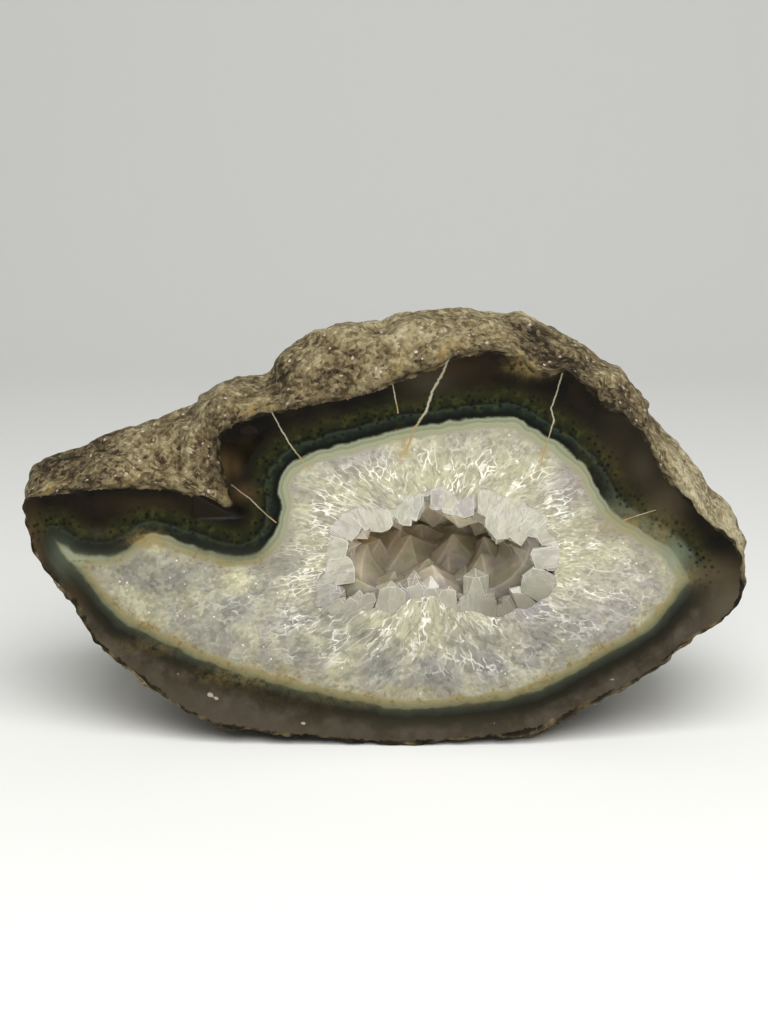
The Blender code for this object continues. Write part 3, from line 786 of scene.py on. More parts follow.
def druseHeight(places, chance):
    # the outline of six-sided pyramids packed together: at each place the highest of all of them,
    # where one is its tip's height less the largest of six slopes times the distance along that slope;
    # a place is on a ridge where the two largest of a pyramid's six are nearly equal, and ridges get a
    # painted highlight
    count = druse["points"]
    deep = druse["shallowest"] + (1 - druse["shallowest"]) * (np.arange(count) + 0.5) / count
    around = math.pi * (3 - math.sqrt(5)) * np.arange(count)
    around = around + chance.uniform(-druse["stray"], druse["stray"], count)
    wide = np.sqrt(1 - deep**2)
    half = np.array(hollow["half"]) - druse["thickness"]
    unit = np.stack([wide * np.cos(around), deep, wide * np.sin(around)], 1)
    middle = np.array([hollow["middle"][0], stone["faceY"] + hollow["middleDepth"], hollow["middle"][1]])
    height = np.zeros(len(places))
    ridgeHighlight = np.zeros(len(places))
    for direction in unit:
        foot = middle + direction * half
        normal = -direction / half
        normal /= np.linalg.norm(normal)
        u = np.cross(normal, [0.0, 1.0, 0.3])
        u /= np.linalg.norm(u)
        v = np.cross(normal, u)
        offset = places - foot
        angle = np.arange(6) * math.pi / 3 + chance.uniform(0, math.pi / 3)
        slopes = chance.uniform(*druse["slope"], 6)
        reach = np.outer(offset @ u, np.cos(angle)) + np.outer(offset @ v, np.sin(angle))
        falls = slopes * reach
        falls.sort(axis=1)
        own = chance.uniform(*druse["tipHeight"]) - falls[:, -1]
        own[np.linalg.norm(offset, axis=1) > druse["spread"]] = 0
        highest = own > height
        height[highest] = own[highest]
        ridgeHighlight[highest] = np.clip(1 - (falls[:, -1] - falls[:, -2]) / druse["ridgeHighlight"], 0, 1)[highest]
    return height * np.clip((places[:, 1] - stone["faceY"]) / druse["growIn"], 0, 1), ridgeHighlight


def buildDruse(materials, chance):
    # the lining of the hollow as one closed shell: smooth behind, a rim, and packed crystal points in front
    columns = druse["columns"]
    angles = np.linspace(0, 2 * math.pi, columns, endpoint=False)[None, :]
    outer, outerPole = bowlGrid(np.array(hollow["half"]) - druse["behindGap"], stone["bowlRows"],
                                druse["rimDepth"], angles)
    half = np.array(hollow["half"]) - druse["thickness"]
    inner, innerPole = bowlGrid(half, druse["rows"], druse["rimDepth"], angles)
    places = np.concatenate([inner.reshape(-1, 3), [innerPole]])
    middle = np.array([hollow["middle"][0], stone["faceY"] + hollow["middleDepth"], hollow["middle"][1]])
    inward = -(places - middle) / half**2
    inward /= np.linalg.norm(inward, axis=1, keepdims=True)
    height, ridgeHighlight = druseHeight(places, chance)
    places = places + inward * height[:, None]
    points = np.concatenate([outer[::-1].reshape(-1, 3), places[:-1], [outerPole, places[-1]]])
    rows = len(outer) + len(inner)
    faces = gridFaces(rows, columns)
    faces += fanFaces(0, len(points) - 2, columns, flip=True)
    faces += fanFaces((rows - 1) * columns, len(points) - 1, columns)
    piece = meshPiece("hollowCrystals", points, faces, materials, smooth=True)
    behind = np.zeros(outer[..., 0].size)
    storeOnPoints(piece, "ridgeHighlight", np.concatenate([behind, ridgeHighlight[:-1], [0, ridgeHighlight[-1]]]))
    print("lining of the hollow:", len(points), "points")
    return piece


# Materials, with patterns scaled from sizes in mm. A list of inputs reads: for noise, the place, scale,
# detail and roughness; for cells, the place and scale; for a range, the value, what it runs from and what
# it runs to; for a mix, the share of the second and both colours

def roughRindMaterial():
    # weathered volcanic rind, broken and never polished: dull, granular, brown with pale grains and dark pits
    material, add, shader = newMaterial("weathered_rind_rough", {
        "Roughness": 0.85, "IOR": 1.5, "Specular IOR Level": 0.3})
    place = add("TexCoord").outputs["Object"]
    broad = add("TexNoise", [place, 1 / (10 * mm), 3.0])
    grain = add("TexNoise", [place, 1 / (1.5 * mm), 6.0, 0.72])
    stand = add("Attribute", attribute_name="stand").outputs["Fac"]
    depth = add("Attribute", attribute_name="behindFace").outputs["Fac"]
    # the rind's tone follows its relief, lighter where it stands out and darker in the hollows between lumps:
    # painted shade
    raised = add("Math", [stand, 0.07, 0.075], operation="MULTIPLY_ADD")
    # painted light and shade: stored spots lighten the rind's right end and darken its underside and low ends
    shade = add("Attribute", attribute_name="shade").outputs["Fac"]
    shaded = add("Math", [raised, shade], operation="ADD")
    height = add("Math", [broad, 0.5, shaded], operation="MULTIPLY_ADD")
    sugar = add("TexVoronoi", [place, 1 / (0.9 * mm)])
    sugarTone = add("SeparateColor", [sugar.outputs["Color"]])
    rough = add("Math", [sugarTone.outputs[0], 0.2, height], operation="MULTIPLY_ADD")
    tone = add("Math", [grain, 0.6, rough], operation="MULTIPLY_ADD")
    colour = fillRamp(add("ValToRGB", [tone]), [
        (0.52, "#221b10"), (0.61, "#443824"), (0.69, "#695b40"), (0.77, "#857756"), (0.86, "#a09470"),
        (0.97, "#beb392")])

    # scattered grains: white and pinkish ones all over, golden ones along the sawn edge
    jitter = add("VectorMath", [grain.outputs["Color"], (1.6 * mm,) * 3, place], operation="MULTIPLY_ADD")
    speck = add("TexVoronoi", [jitter, 1 / (1.2 * mm)])
    kind = add("SeparateColor", [speck.outputs["Color"]])
    small = add("MapRange", [speck, 0.22, 0.34, 0.85, 0.0])
    pale = add("Math", [kind.outputs[0], 0.86], operation="GREATER_THAN")
    paleGrain = add("Math", [small, pale], operation="MULTIPLY")
    grainColour = fillRamp(add("ValToRGB", [kind.outputs[1]]), [
        (0.0, "#c9bda2"), (0.5, "#d9cdbf"), (0.8, "#cfa9a0"), (1.0, "#e4e0d6")])
    golden = add("MapRange", [depth, 1.0, 7.0, 1.0, 0.0])
    goldPatch = add("MapRange", [broad, 0.48, 0.64])
    goldGrain = add("Math", [kind.outputs[2], 0.5], operation="GREATER_THAN")
    up = add("SeparateXYZ", [place]).outputs[2]
    upper = add("MapRange", [up, 30 * mm, 55 * mm])
    goldAbove = add("Math", [golden, upper], operation="MULTIPLY")
    gold = add("Math", [goldAbove, goldPatch], operation="MULTIPLY")
    goldSpots = add("Math", [gold, goldGrain], operation="MULTIPLY")
    goldMix = add("Math", [goldSpots, 0.6], operation="MULTIPLY")

    # the sawn edge is darker where the agate comes through
    rim = add("MapRange", [depth, 0.1, 1.8, 1.0, 0.0])
    rimPatch = add("Math", [rim, grain], operation="MULTIPLY")
    for share, over in ((paleGrain, grainColour), (goldMix, linear("#a3853f")),
                        (rimPatch, linear("#120e08"))):
        colour = add("Mix", [share, colour, over], data_type="RGBA")
    material.node_tree.links.new(colour.outputs[2], shader.inputs["Base Color"])
    pits = add("Math", [sugar, -0.45, grain], operation="MULTIPLY_ADD")
    bump = add("Bump", {"Height": pits, "Distance": 1.0 * mm, "Strength": 1.0})
    material.node_tree.links.new(bump.outputs[0], shader.inputs["Normal"])
    return material


def milkyQuartzMaterial():
    # massive quartz behind the druse, grown and never cut: milky, brownish mauve in the shade of the hollow
    material, add, shader = newMaterial("milky_quartz_grown", {"Roughness": 0.4, "IOR": 1.544})
    place = add("TexCoord").outputs["Object"]
    cloud = add("TexNoise", [place, 1 / (4 * mm), 3.0])
    colour = fillRamp(add("ValToRGB", [cloud]), [(0.3, "#b9b3a0"), (0.7, "#d6d2c2")])
    material.node_tree.links.new(colour.outputs[0], shader.inputs["Base Color"])
    return material


def crystalColour(add):
    # inside one crystal: a tone of its own, slivers along its length, milky veils and white healed fractures,
    # clear at the tip and milky towards its root, where it grows out of the massive quartz;
    # and painted shade: darker and greyer low down, to the lower right and further behind the face
    place = add("TexCoord").outputs["Object"]
    tint = add("Attribute", attribute_name="tint").outputs["Fac"]
    grown = add("Attribute", attribute_name="grown").outputs["Vector"]
    along = add("SeparateXYZ", [grown]).outputs[2]
    tone = fillRamp(add("ValToRGB", [tint]), [
        (0.0, "#e3ddc6"), (0.3, "#cbc8b2"), (0.6, "#dcd6c4"), (0.85, "#cdc8ba"), (1.0, "#c0b6bb")])
    byCrystal = add("CombineXYZ", {2: tint})
    own = add("VectorMath", [byCrystal, (50.0, 50.0, 50.0), grown], operation="MULTIPLY_ADD")
    sliver = add("Mapping", {"Vector": own, "Scale": (1 / 1.1, 1 / 1.1, 1 / 3.0)})
    slivers = add("TexVoronoi", [sliver, 1.0])
    sliverTone = add("SeparateColor", [slivers.outputs["Color"]])
    needle = add("Mapping", {"Vector": own, "Scale": (1 / 0.5, 1 / 0.5, 1 / 3.5)})
    needles = add("TexNoise", [needle, 1.0, 3.0, 0.7])
    whitened = add("MapRange", [along, 1.0, 7.0, 0.0, 0.16])
    thick = add("Math", [needles, whitened], operation="ADD")
    needleMask = add("MapRange", [thick, 0.6, 0.85])
    fracture = add("TexVoronoi", [sliver, 0.8], feature="DISTANCE_TO_EDGE")
    line = add("MapRange", [fracture, 0.0, 0.1, 1.0, 0.0])
    veil = add("TexNoise", [place, 1 / (2.5 * mm), 4.0, 0.6])
    veilMask = add("MapRange", [veil, 0.47, 0.57])
    veined = add("Math", [line, veilMask], operation="MULTIPLY")
    milky = add("Math", [needleMask, veined], operation="MAXIMUM")
    lightness = add("Math", [sliverTone.outputs[0], 0.3, 0.84], operation="MULTIPLY_ADD")
    sliced = add("HueSaturation", {"Color": tone, "Value": lightness})
    where = add("SeparateXYZ", [place])
    # painted shade: crystals low down, at the lower right and further behind the face are greyed and darkened
    low = add("MapRange", [where.outputs[2], 32 * mm, 41 * mm, 0.45, 0.0])
    veiled = add("Mix", [milky, sliced, linear("#f2f0e6")], data_type="RGBA")
    behind = add("MapRange", [where.outputs[1], -26.5 * mm, -20 * mm, 0.0, 0.85])
    right = add("MapRange", [where.outputs[0], 16 * mm, 22 * mm])
    lowRightShade = add("Math", [right, low, low], operation="MULTIPLY_ADD")
    deep = add("Math", [behind, lowRightShade], operation="MAXIMUM", use_clamp=True)
    return add("Mix", [deep, veiled, linear("#908b76")], data_type="RGBA"), along, deep


def clearQuartzMaterial():
    # rock crystal with natural faces: glassy, half clear, faintly lilac or cream, with veils inside
    material, add, shader = newMaterial("rock_crystal_natural_faces", {
        "Roughness": 0.12, "IOR": 1.544, "Transmission Weight": 0.45})
    colour = crystalColour(add)[0]
    material.node_tree.links.new(colour.outputs[2], shader.inputs["Base Color"])
    return material


def frostAndHighlightEdgeMaterial():
    # the edges of a quartz crystal painted white, strongest at the tip: partly frosting, partly painted
    # highlight
    material, add, shader = newMaterial("quartz_edge_frost_and_painted_highlight", {
        "Roughness": 0.4, "IOR": 1.544, "Transmission Weight": 0.4})
    colour, along, deep = crystalColour(add)
    # the white along the edges, frost and painted highlight, fades from the tip towards the root and where
    # painted shade is deep
    frostAndHighlight = add("MapRange", [along, 0.5, 8.0, 0.7, 0.15])
    shallow = add("Math", [frostAndHighlight, deep], operation="SUBTRACT", use_clamp=True)
    white = add("Mix", [shallow, colour, linear("#f6f4ec")], data_type="RGBA")
    material.node_tree.links.new(white.outputs[2], shader.inputs["Base Color"])
    return material


def dimQuartzMaterial():
    # crystals deep in the hollow: the same quartz, dim brownish mauve because little light comes back out
    material, add, shader = newMaterial("dim_quartz_natural_faces", {
        "Roughness": 0.45, "IOR": 1.544, "Specular IOR Level": 0.3,
        "Subsurface Weight": 1.0, "Subsurface Radius": (1.0, 0.92, 0.8), "Subsurface Scale": 8 * mm})
    place = add("TexCoord").outputs["Object"]
    cloud = add("TexNoise", [place, 1 / (5 * mm), 4.0, 0.6])
    cloudy = fillRamp(add("ValToRGB", [cloud]), [
        (0.35, "#989276"), (0.5, "#b0a48f"), (0.65, "#9b9084")])
    ridgeHighlight = add("Attribute", attribute_name="ridgeHighlight").outputs["Fac"]
    # painted highlight: a pale line along the ridges of the crystal points
    ridgeHighlightShare = add("Math", [ridgeHighlight, 0.28], operation="MULTIPLY")
    colour = add("Mix", [ridgeHighlightShare, cloudy, linear("#d8d2bf")], data_type="RGBA").outputs[2]
    # painted light and shade: the lining is lighter towards the top of the hollow, darker low down and
    # towards its right end
    up = add("SeparateXYZ", [place]).outputs[2]
    paintedLightUpward = add("MapRange", [up, 34 * mm, 49 * mm, 0.45, 2.05])
    across = add("SeparateXYZ", [place]).outputs[0]
    paintedShadeRight = add("MapRange", [across, 14 * mm, 30 * mm, 1.12, 0.45])
    lightness = add("Math", [paintedLightUpward, paintedShadeRight], operation="MULTIPLY")
    toned = add("HueSaturation", {"Color": colour, "Value": lightness})
    material.node_tree.links.new(toned.outputs[0], shader.inputs["Base Color"])
    return material


def chalcedonyColour(add, place, read, bandPlace):
    # bands by distance outwards from the quartz: pale, a black line, blue green, mossy olive, almost black
    bandShare = add("MapRange", [bandPlace, -4.0, 16.0])
    upper = fillRamp(add("ValToRGB", [bandShare]), [
        (0.060, "#9a968a"), (0.092, "#908b74"), (0.108, "#8c8c72"), (0.135, "#8f9176"), (0.160, "#767a60"),
        (0.182, "#858972"), (0.192, "#757a64"), (0.208, "#191b12"), (0.226, "#080a06"), (0.246, "#0d120d"),
        (0.290, "#182019"), (0.322, "#272f24"), (0.345, "#0d1009"), (0.380, "#191c0c"), (0.450, "#1f200d"),
        (0.520, "#141309"), (0.600, "#090805"), (0.850, "#070604")])
    # below the quartz the agate turns from almost black to brown mauve towards the rim: partly its own
    # colour, partly painted light shining up through it from beneath
    lower = fillRamp(add("ValToRGB", [bandShare]), [
        (0.040, "#9a968a"), (0.095, "#87805f"), (0.125, "#7c7657"), (0.150, "#6a6b52"), (0.172, "#5c6049"),
        (0.190, "#34372b"), (0.250, "#262922"), (0.290, "#1c1a12"), (0.400, "#29251b"), (0.560, "#3d372c"),
        (0.800, "#4a4337"), (1.000, "#4d4539")])
    bands = add("Mix", [read["under"], upper, lower], data_type="RGBA")
    celadon = add("MapRange", [bandPlace, 2.6, 3.8, 1.0, 0.0])
    hazy = add("Math", [celadon, read["celadon"]], operation="MULTIPLY")
    greened = add("Mix", [hazy, bands, linear("#6f7965")], data_type="RGBA")

    # fine growth lines 0.45 mm apart
    lines = add("Math", [bandPlace, 2 * math.pi / 0.45], operation="MULTIPLY")
    wave = add("Math", [lines], operation="SINE")
    patchy = add("TexNoise", [place, 1 / (4 * mm), 2.0])
    strength = add("Math", [wave, patchy], operation="MULTIPLY")
    lightness = add("Math", [strength, 0.16, 1.0], operation="MULTIPLY_ADD")
    colour = add("HueSaturation", {"Color": greened, "Value": lightness})

    # cloudy depth: the dark agate lets through patches of brown and olive light
    cloud = add("TexNoise", [place, 1 / (7 * mm), 4.0, 0.6])
    cloudMask = add("MapRange", [cloud, 0.42, 0.72])
    outside = add("MapRange", [bandPlace, 3.0, 5.0])
    glow = add("Math", [cloudMask, outside], operation="MULTIPLY")
    glowing = add("Math", [glow, 0.15, read["glow"]], operation="MULTIPLY_ADD")

    # under the quartz the agate is mottled brown mauve
    mottle = add("TexNoise", [place, 1 / (5 * mm), 5.0, 0.65])
    mottleMask = add("MapRange", [mottle, 0.42, 0.68])
    below = add("Math", [mottleMask, read["under"]], operation="MULTIPLY")
    belowOut = add("Math", [below, outside], operation="MULTIPLY")

    # moss: black dots and olive tufts through the green bands
    dots = add("TexVoronoi", [place, 1 / (1.3 * mm)])
    dotMask = add("MapRange", [dots, 0.2, 0.42, 1.0, 0.0])
    zone = fillRamp(add("ValToRGB", [bandShare]), [
        (0.24, 0.0), (0.31, 0.8), (0.42, 0.9), (0.50, 0.4), (0.56, 0.0)])
    tufts = add("TexNoise", [place, 1 / (1.6 * mm), 3.0])
    tuftMask = add("MapRange", [tufts, 0.5, 0.75, 0.0, 0.7])
    tufted = add("Math", [tuftMask, zone], operation="MULTIPLY")
    above = add("MapRange", [read["under"], 0.0, 1.0, 1.0, 0.0])
    oliveMask = add("Math", [tufted, above], operation="MULTIPLY")
    dotted = add("Math", [dotMask, zone], operation="MULTIPLY")
    mossy = add("Math", [dotted, above], operation="MULTIPLY")

    # haze, brown light, mottle, olive tufts and black dots, each over the ones before it
    for share, tone in ((read["haze"], "#5a533f"), (glowing, "#43341f"), (belowOut, "#4c443a"),
                        (oliveMask, "#3f411b"), (mossy, "#070904")):
        colour = add("Mix", [share, colour, linear(tone)], data_type="RGBA")
    return colour


def quartzColour(add, place, read):
    # crystals cut through: bright boundaries and healed fractures fan out from the hollow over lilac grey
    growth = add("Attribute", attribute_name="growth").outputs["Vector"]
    swirl = add("TexNoise", [place, 1 / (4 * mm), 2.0])
    bent = add("VectorMath", [swirl.outputs["Color"], (2.2, 2.2, 2.2), growth], operation="MULTIPLY_ADD")
    column = add("Mapping", {"Vector": bent, "Scale": (1 / 3.6, 1 / 3.6, 1 / 7.0)})
    splinter = add("Mapping", {"Vector": bent, "Scale": (1 / 1.2, 1 / 1.2, 1 / 2.6)})
    crumb = add("Mapping", {"Vector": growth, "Scale": (1 / 0.5, 1 / 0.5, 1 / 0.8)})
    needle = add("Mapping", {"Vector": bent, "Scale": (1 / 0.5, 1 / 0.5, 1 / 4.0)})

    # boundaries between crystal columns about 3.6 mm apart, splinters 1.2 mm apart, needles 0.5 mm apart
    columns = add("TexVoronoi", [column, 1.0], feature="DISTANCE_TO_EDGE")
    columnLine = add("MapRange", [columns, 0.0, 0.04, 0.6, 0.0])
    splinters = add("TexVoronoi", [splinter, 1.0], feature="DISTANCE_TO_EDGE")
    splinterLine = add("MapRange", [splinters, 0.02, 0.11, 1.0, 0.0])
    tuft = add("TexNoise", [column, 1.1, 3.0])
    tuftMask = add("MapRange", [tuft, 0.45, 0.55])
    fibres = add("TexNoise", [needle, 1.0, 3.0, 0.7])
    fibreMask = add("MapRange", [fibres, 0.6, 0.76, 0.0, 0.6])
    strokeMask = add("MapRange", [fibres, 0.42, 0.5])
    stroked = add("Math", [splinterLine, strokeMask], operation="MULTIPLY")
    splintered = add("Math", [stroked, tuftMask], operation="MULTIPLY")
    crumbs = add("TexVoronoi", [crumb, 1.0])
    crumbTone = add("SeparateColor", [crumbs.outputs["Color"]])
    broken = add("TexNoise", [splinter, 1.2, 2.0])
    brokenMask = add("MapRange", [broken, 0.45, 0.6])
    brokenLine = add("Math", [columnLine, brokenMask], operation="MULTIPLY")
    fleck = add("Mapping", {"Vector": bent, "Scale": (1 / 0.75, 1 / 0.75, 1 / 1.5)})
    flecks = add("TexVoronoi", [fleck, 1.0])
    fleckTone = add("SeparateColor", [flecks.outputs["Color"]])
    fleckOn = add("MapRange", [fleckTone.outputs[1], 0.84, 0.9, 0.0, 0.5])
    fleckMask = add("Math", [fleckOn, tuftMask], operation="MULTIPLY")
    lines = add("Math", [brokenLine, splintered], operation="MAXIMUM")
    strokes = add("Math", [lines, fibreMask], operation="MAXIMUM")
    bright = add("Math", [strokes, fleckMask], operation="MAXIMUM")

    # strongest round the hollow and in the cream patches, weak towards the pale band and in the left wing
    away = add("MapRange", [read["hollowMm"], 0.0, 40.0])
    fade = fillRamp(add("ValToRGB", [away]), [
        (0.0, 0.75), (0.12, 1.0), (0.3, 0.85), (0.5, 0.55), (1.0, 0.35)])
    rise = add("Math", [read["cream"], 0.4, fade], operation="MULTIPLY_ADD")
    lift = add("Math", [read["dim"], -0.5, rise], operation="MULTIPLY_ADD")
    inward = add("MapRange", [read["bandMm"], -8.0, -2.5, 1.0, 0.05])
    patchy = add("TexNoise", [place, 1 / (7 * mm), 2.0])
    patchGain = add("MapRange", [patchy, 0.35, 0.6, 0.4, 1.0])
    gain = add("Math", [lift, inward], operation="MULTIPLY")
    patchedGain = add("Math", [gain, patchGain], operation="MULTIPLY")
    frost = add("Math", [bright, patchedGain], operation="MULTIPLY", use_clamp=True)
    plain = add("Math", [read["dim"], -0.24, 0.70], operation="MULTIPLY_ADD")

    # ground colour: lilac grey, grey green and cream clouds, and a tone of its own for each column
    clouds = add("TexNoise", [place, 1 / (6 * mm), 4.0, 0.6])
    cells = add("TexVoronoi", [column, 1.0])
    cellTone = add("SeparateColor", [cells.outputs["Color"]])
    varied = add("Math", [cellTone.outputs[0], 0.16, clouds], operation="MULTIPLY_ADD")
    ground = fillRamp(add("ValToRGB", [varied]), [
        (0.42, "#817f75"), (0.52, "#8b887c"), (0.60, "#939180"), (0.68, "#9d9a84"), (0.78, "#aaa68c")])
    lilac = add("Math", [read["lilac"], 0.45], operation="MULTIPLY")
    creamMask = add("Math", [read["cream"], 0.45], operation="MULTIPLY")
    tinted = add("Mix", [lilac, ground, linear("#918896")], data_type="RGBA")
    creamy = add("Mix", [creamMask, tinted, linear("#bab593")], data_type="RGBA")
    shards = add("TexVoronoi", [splinter, 1.0])
    shardTone = add("SeparateColor", [shards.outputs["Color"]])
    sharded = add("Math", [shardTone.outputs[0], 0.26, plain], operation="MULTIPLY_ADD")
    crumbled = add("Math", [crumbTone.outputs[0], 0.36, sharded], operation="MULTIPLY_ADD")
    colour = add("HueSaturation", {"Color": creamy, "Value": crumbled})

    # small dark inclusions and white glints, 1.5 mm apart
    spots = add("TexVoronoi", [place, 1 / (1.5 * mm)])
    pick = add("SeparateColor", [spots.outputs["Color"]])
    small = add("MapRange", [spots, 0.05, 0.2, 1.0, 0.0])
    isGlint = add("Math", [pick.outputs[0], 0.85], operation="GREATER_THAN")
    isDark = add("Math", [pick.outputs[0], 0.35], operation="LESS_THAN")
    glint = add("Math", [small, isGlint], operation="MULTIPLY")
    faintGlint = add("Math", [glint, 0.7], operation="MULTIPLY")
    darkSpot = add("Math", [small, isDark], operation="MULTIPLY")
    faintSpot = add("Math", [darkSpot, 0.4], operation="MULTIPLY")
    for share, tone in ((frost, "#eeebdc"), (faintSpot, "#6f6a5e"), (faintGlint, "#f6f4ea")):
        colour = add("Mix", [share, colour, linear(tone)], data_type="RGBA")
    return colour


def polishedFaceMaterial():
    # sawn agate ground and polished: banded chalcedony round milky quartz, smooth, with a soft gloss
    material, add, shader = newMaterial("agate_sawn_polished", {
        "Roughness": 0.28, "IOR": 1.54, "Specular IOR Level": 0.06})
    place = add("TexCoord").outputs["Object"]
    read = {}
    for name in ("bandMm", "rimMm", "hollowMm", "under", "sideWall", *patches):
        read[name] = add("Attribute", attribute_name=name).outputs["Fac"]
    waver = add("TexNoise", [place, 1 / (3.2 * mm), 3.0])
    wavy = add("Math", [waver, 1.7, -0.85], operation="MULTIPLY_ADD")
    bandPlace = add("Math", [read["bandMm"], wavy], operation="ADD")
    bands = chalcedonyColour(add, place, read, bandPlace)
    quartz = quartzColour(add, place, read)
    outwards = add("MapRange", [bandPlace, -2.9, -2.0])
    withinBand = add("MapRange", [bandPlace, -1.0, -0.2, 0.85, 0.0])
    hazyTip = add("Math", [read["tipHaze"], withinBand], operation="MULTIPLY", use_clamp=True)

    # iron stains, granular, and the ragged stained fringe along the sawn edge
    rust = add("TexNoise", [place, 1 / (1.3 * mm), 5.0, 0.65])
    rustMask = add("MapRange", [rust, 0.35, 0.7])
    zoneIn = add("MapRange", [bandPlace, -5.5, -2.2, 0.0, 0.8])
    zoneOut = add("MapRange", [bandPlace, -1.2, 0.4, 1.0, 0.0])
    clump = add("MapRange", [waver, 0.42, 0.6, 0.2, 0.9])
    ring = add("Math", [zoneIn, zoneOut], operation="MULTIPLY")
    clumps = add("Math", [ring, clump], operation="MULTIPLY")
    zone = add("Math", [clumps, read["under"]], operation="MULTIPLY")
    stain = add("Math", [read["ochre"], zone], operation="MAXIMUM")
    rusty = add("Math", [rustMask, stain], operation="MULTIPLY")
    pitted = add("TexVoronoi", [place, 1 / (0.7 * mm)])
    pitTone = add("SeparateColor", [pitted.outputs["Color"]])
    pit = add("MapRange", [pitTone.outputs[0], 0.65, 0.8, 0.0, 0.7])
    pits = add("Math", [pit, zone], operation="MULTIPLY")
    ragged = add("Math", [rust, 2.2, -0.6], operation="MULTIPLY_ADD")
    fringe = add("Math", [read["rimMm"], ragged], operation="LESS_THAN")
    fringeTone = fillRamp(add("ValToRGB", [waver]), [
        (0.35, "#15110b"), (0.5, "#2b2519"), (0.6, "#514630"), (0.7, "#6f6248")])
    uneven = add("Math", [read["pale"], rust], operation="MULTIPLY")
    grain = add("MapRange", [uneven, 0.25, 0.4])

    # cracks healed with white quartz, stained orange at their inner ends
    crack = add("SeparateXYZ", [add("Attribute", attribute_name="crack").outputs["Vector"]])
    fine = add("TexNoise", [place, 1 / (1.0 * mm), 3.0])
    shift = add("Math", [fine, 2.4, -1.2], operation="MULTIPLY_ADD")
    moved = add("Math", [crack.outputs[0], shift], operation="ADD")
    offset = add("Math", [moved], operation="ABSOLUTE")
    line = add("MapRange", [offset, 0.4, 1.2, 1.0, 0.0])
    near = add("MapRange", [crack.outputs[1], 2.0, 3.0, 1.0, 0.0])
    crackMask = add("Math", [line, near], operation="MULTIPLY")
    crackTone = fillRamp(add("ValToRGB", [crack.outputs[2]]), [
        (0.0, "#7b7865"), (0.5, "#a09b84"), (0.7, "#8f8260"), (0.85, "#9a8150"), (1.0, "#a4906a")])
    # painted shade: the plate's thin side is near black, so the step shows no lit line
    wallShade = add("MapRange", [read["sideWall"], 0.0, 0.1])

    # quartz, then the bands, hazy tips, rust, its pits, fringe, pale grains, cracks and painted shade on the
    # plate's thin side
    colour = quartz
    for share, over in ((outwards, bands), (hazyTip, linear("#848a76")), (rusty, linear("#8c784a")),
                        (pits, linear("#5a5034")), (fringe, fringeTone), (grain, linear("#9d9488")),
                        (crackMask, crackTone), (wallShade, linear("#1a150d"))):
        colour = add("Mix", [share, colour, over], data_type="RGBA")
    material.node_tree.links.new(colour.outputs[2], shader.inputs["Base Color"])
    return material


# The pieces

rindMaterial = roughRindMaterial()
wallMaterial = milkyQuartzMaterial()
clearMaterial = clearQuartzMaterial()
dimMaterial = dimQuartzMaterial()
edgeFrostAndHighlightMaterial = frostAndHighlightEdgeMaterial()
faceMaterial = polishedFaceMaterial()

rind = buildRind([rindMaterial, wallMaterial])
polished = buildFace([faceMaterial])
chance = np.random.default_rng(crystals["seed"])
mouth = crystalPiece("mouthCrystals", mouthCrystals(chance), [clearMaterial, edgeFrostAndHighlightMaterial], chance)
deep = buildDruse([dimMaterial], np.random.default_rng(druse["seed"]))
print("crystals:", len(mouth.data.polygons) + len(deep.data.polygons), "faces")

for piece, node, slot in ((rind, "agate_stone", "agate"), (polished, "agate_stone", "agate"),
                          (mouth, "quartz_crust", "quartz"), (deep, "quartz_crust", "quartz")):
    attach(piece, "root")
    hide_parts(node)


# Floor, light and camera

studio = {
    "floorColour": "#f3f3f0",
    "halfWidth": 1600.0,
    "front": -1400.0,
    "bendStart": 420.0,
    "bendRadius": 500.0,
    "bendSteps": 24,
    "top": 1500.0,
    "airColour": "#e8ebe6",
    "airStrength": 0.2,
    "lamps": [              # name, place, aim, size and power
        ("softboxAbove", (80, -600, 700), (0, 0, 30), 700, 10.5),
        ("softboxFront", (150, -950, 420), (0, 0, 40), 600, 0.6),
    ],
}


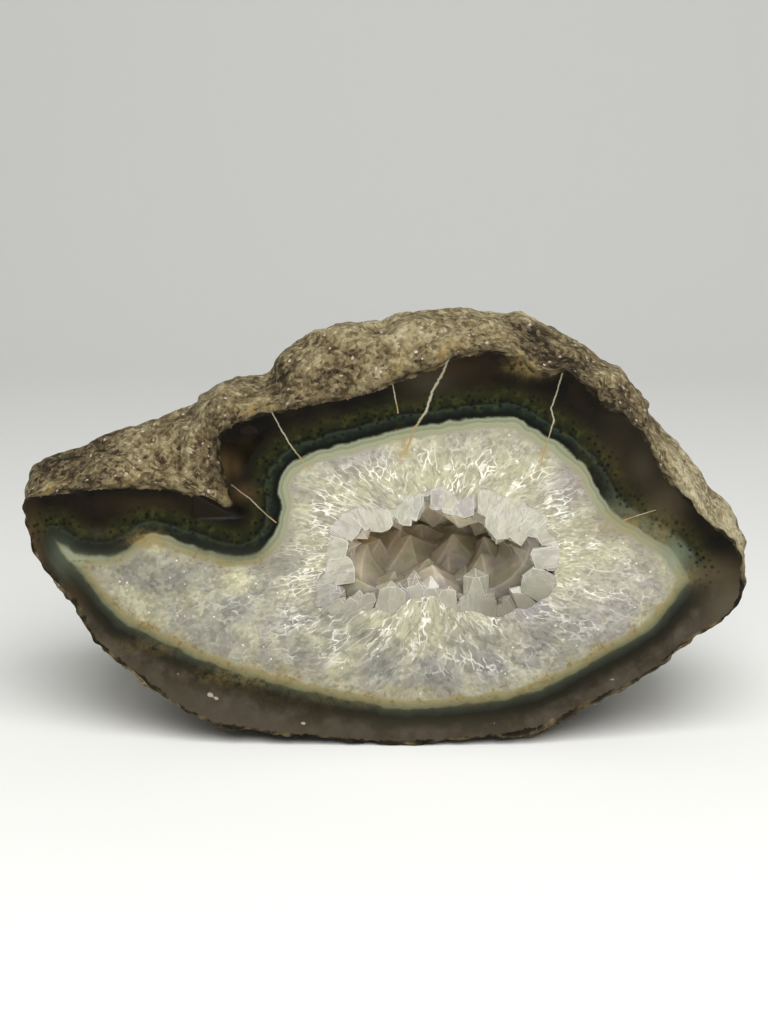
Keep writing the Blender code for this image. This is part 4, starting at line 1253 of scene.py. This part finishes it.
def buildStage():
    # a sheet of paper: flat under the stone, bending up through a quarter circle into a wall behind it
    turn = np.linspace(0, math.pi / 2, studio["bendSteps"])
    bendY = studio["bendStart"] + studio["bendRadius"] * np.sin(turn)
    bendZ = studio["bendRadius"] * (1 - np.cos(turn))
    y = np.concatenate([[studio["front"]], bendY, bendY[-1:]])
    z = np.concatenate([[0], bendZ, [studio["top"]]])
    n = len(y)
    sides = [np.column_stack([np.full(n, s * studio["halfWidth"]), y, z]) for s in (-1, 1)]
    faces = [(i, i + n, i + n + 1, i + 1) for i in range(n - 1)]
    # matt paper, with no gloss to show the lamps
    values = {"Base Color": linear(studio["floorColour"]), "Roughness": 0.9, "Specular IOR Level": 0.1}
    material = newMaterial("paper_backdrop_matt", values)[0]
    return meshPiece("studioPaper", np.concatenate(sides), faces, [material], smooth=True)


def addLamp(name, place, aim, size, power):
    # a square soft light at a place, facing a point, both in millimetres
    lamp = bpy.data.lights.new(name, "AREA")
    lamp.size = size * mm
    lamp.energy = power
    item = bpy.data.objects.new(name, lamp)
    bpy.context.scene.collection.objects.link(item)
    place, aim = np.array(place, float), np.array(aim, float)
    item.location = place * mm
    back = place - aim
    item.rotation_euler = (math.acos(back[2] / np.linalg.norm(back)), 0, math.atan2(back[0], -back[1]))


buildStage()
for lamp in studio["lamps"]:
    addLamp(*lamp)

world = bpy.data.worlds.new("studioAir")
world.use_nodes = True
air = world.node_tree.nodes["Background"]
air.inputs["Color"].default_value = linear(studio["airColour"])
air.inputs["Strength"].default_value = studio["airStrength"]
bpy.context.scene.world = world
bpy.context.scene.view_settings.view_transform = "Standard"

view = {
    "aim": (-0.3, -28.0, 51.6),
    "distance": 420.0,
    "elevation": 14.0,
    "pixelsPerMm": 4.82,        # at the aim, in a picture of the height below
    "tall": 1024,
    "sensorHeight": 36.0,
    "nearest": 10.0,
}
camera = bpy.data.cameras.new("photoView")
camera.sensor_fit = "VERTICAL"
camera.sensor_height = view["sensorHeight"]
camera.lens = view["pixelsPerMm"] * view["distance"] / view["tall"] * camera.sensor_height
camera.clip_start = view["nearest"] * mm
eye = bpy.data.objects.new("photoView", camera)
bpy.context.scene.collection.objects.link(eye)
height = math.radians(view["elevation"])
eye.location = (view["aim"][0] * mm, (view["aim"][1] - view["distance"] * math.cos(height)) * mm,
                (view["aim"][2] + view["distance"] * math.sin(height)) * mm)
eye.rotation_euler = (math.pi / 2 - height, 0, 0)
bpy.context.scene.camera = eye
print("stage, lights and camera ready")
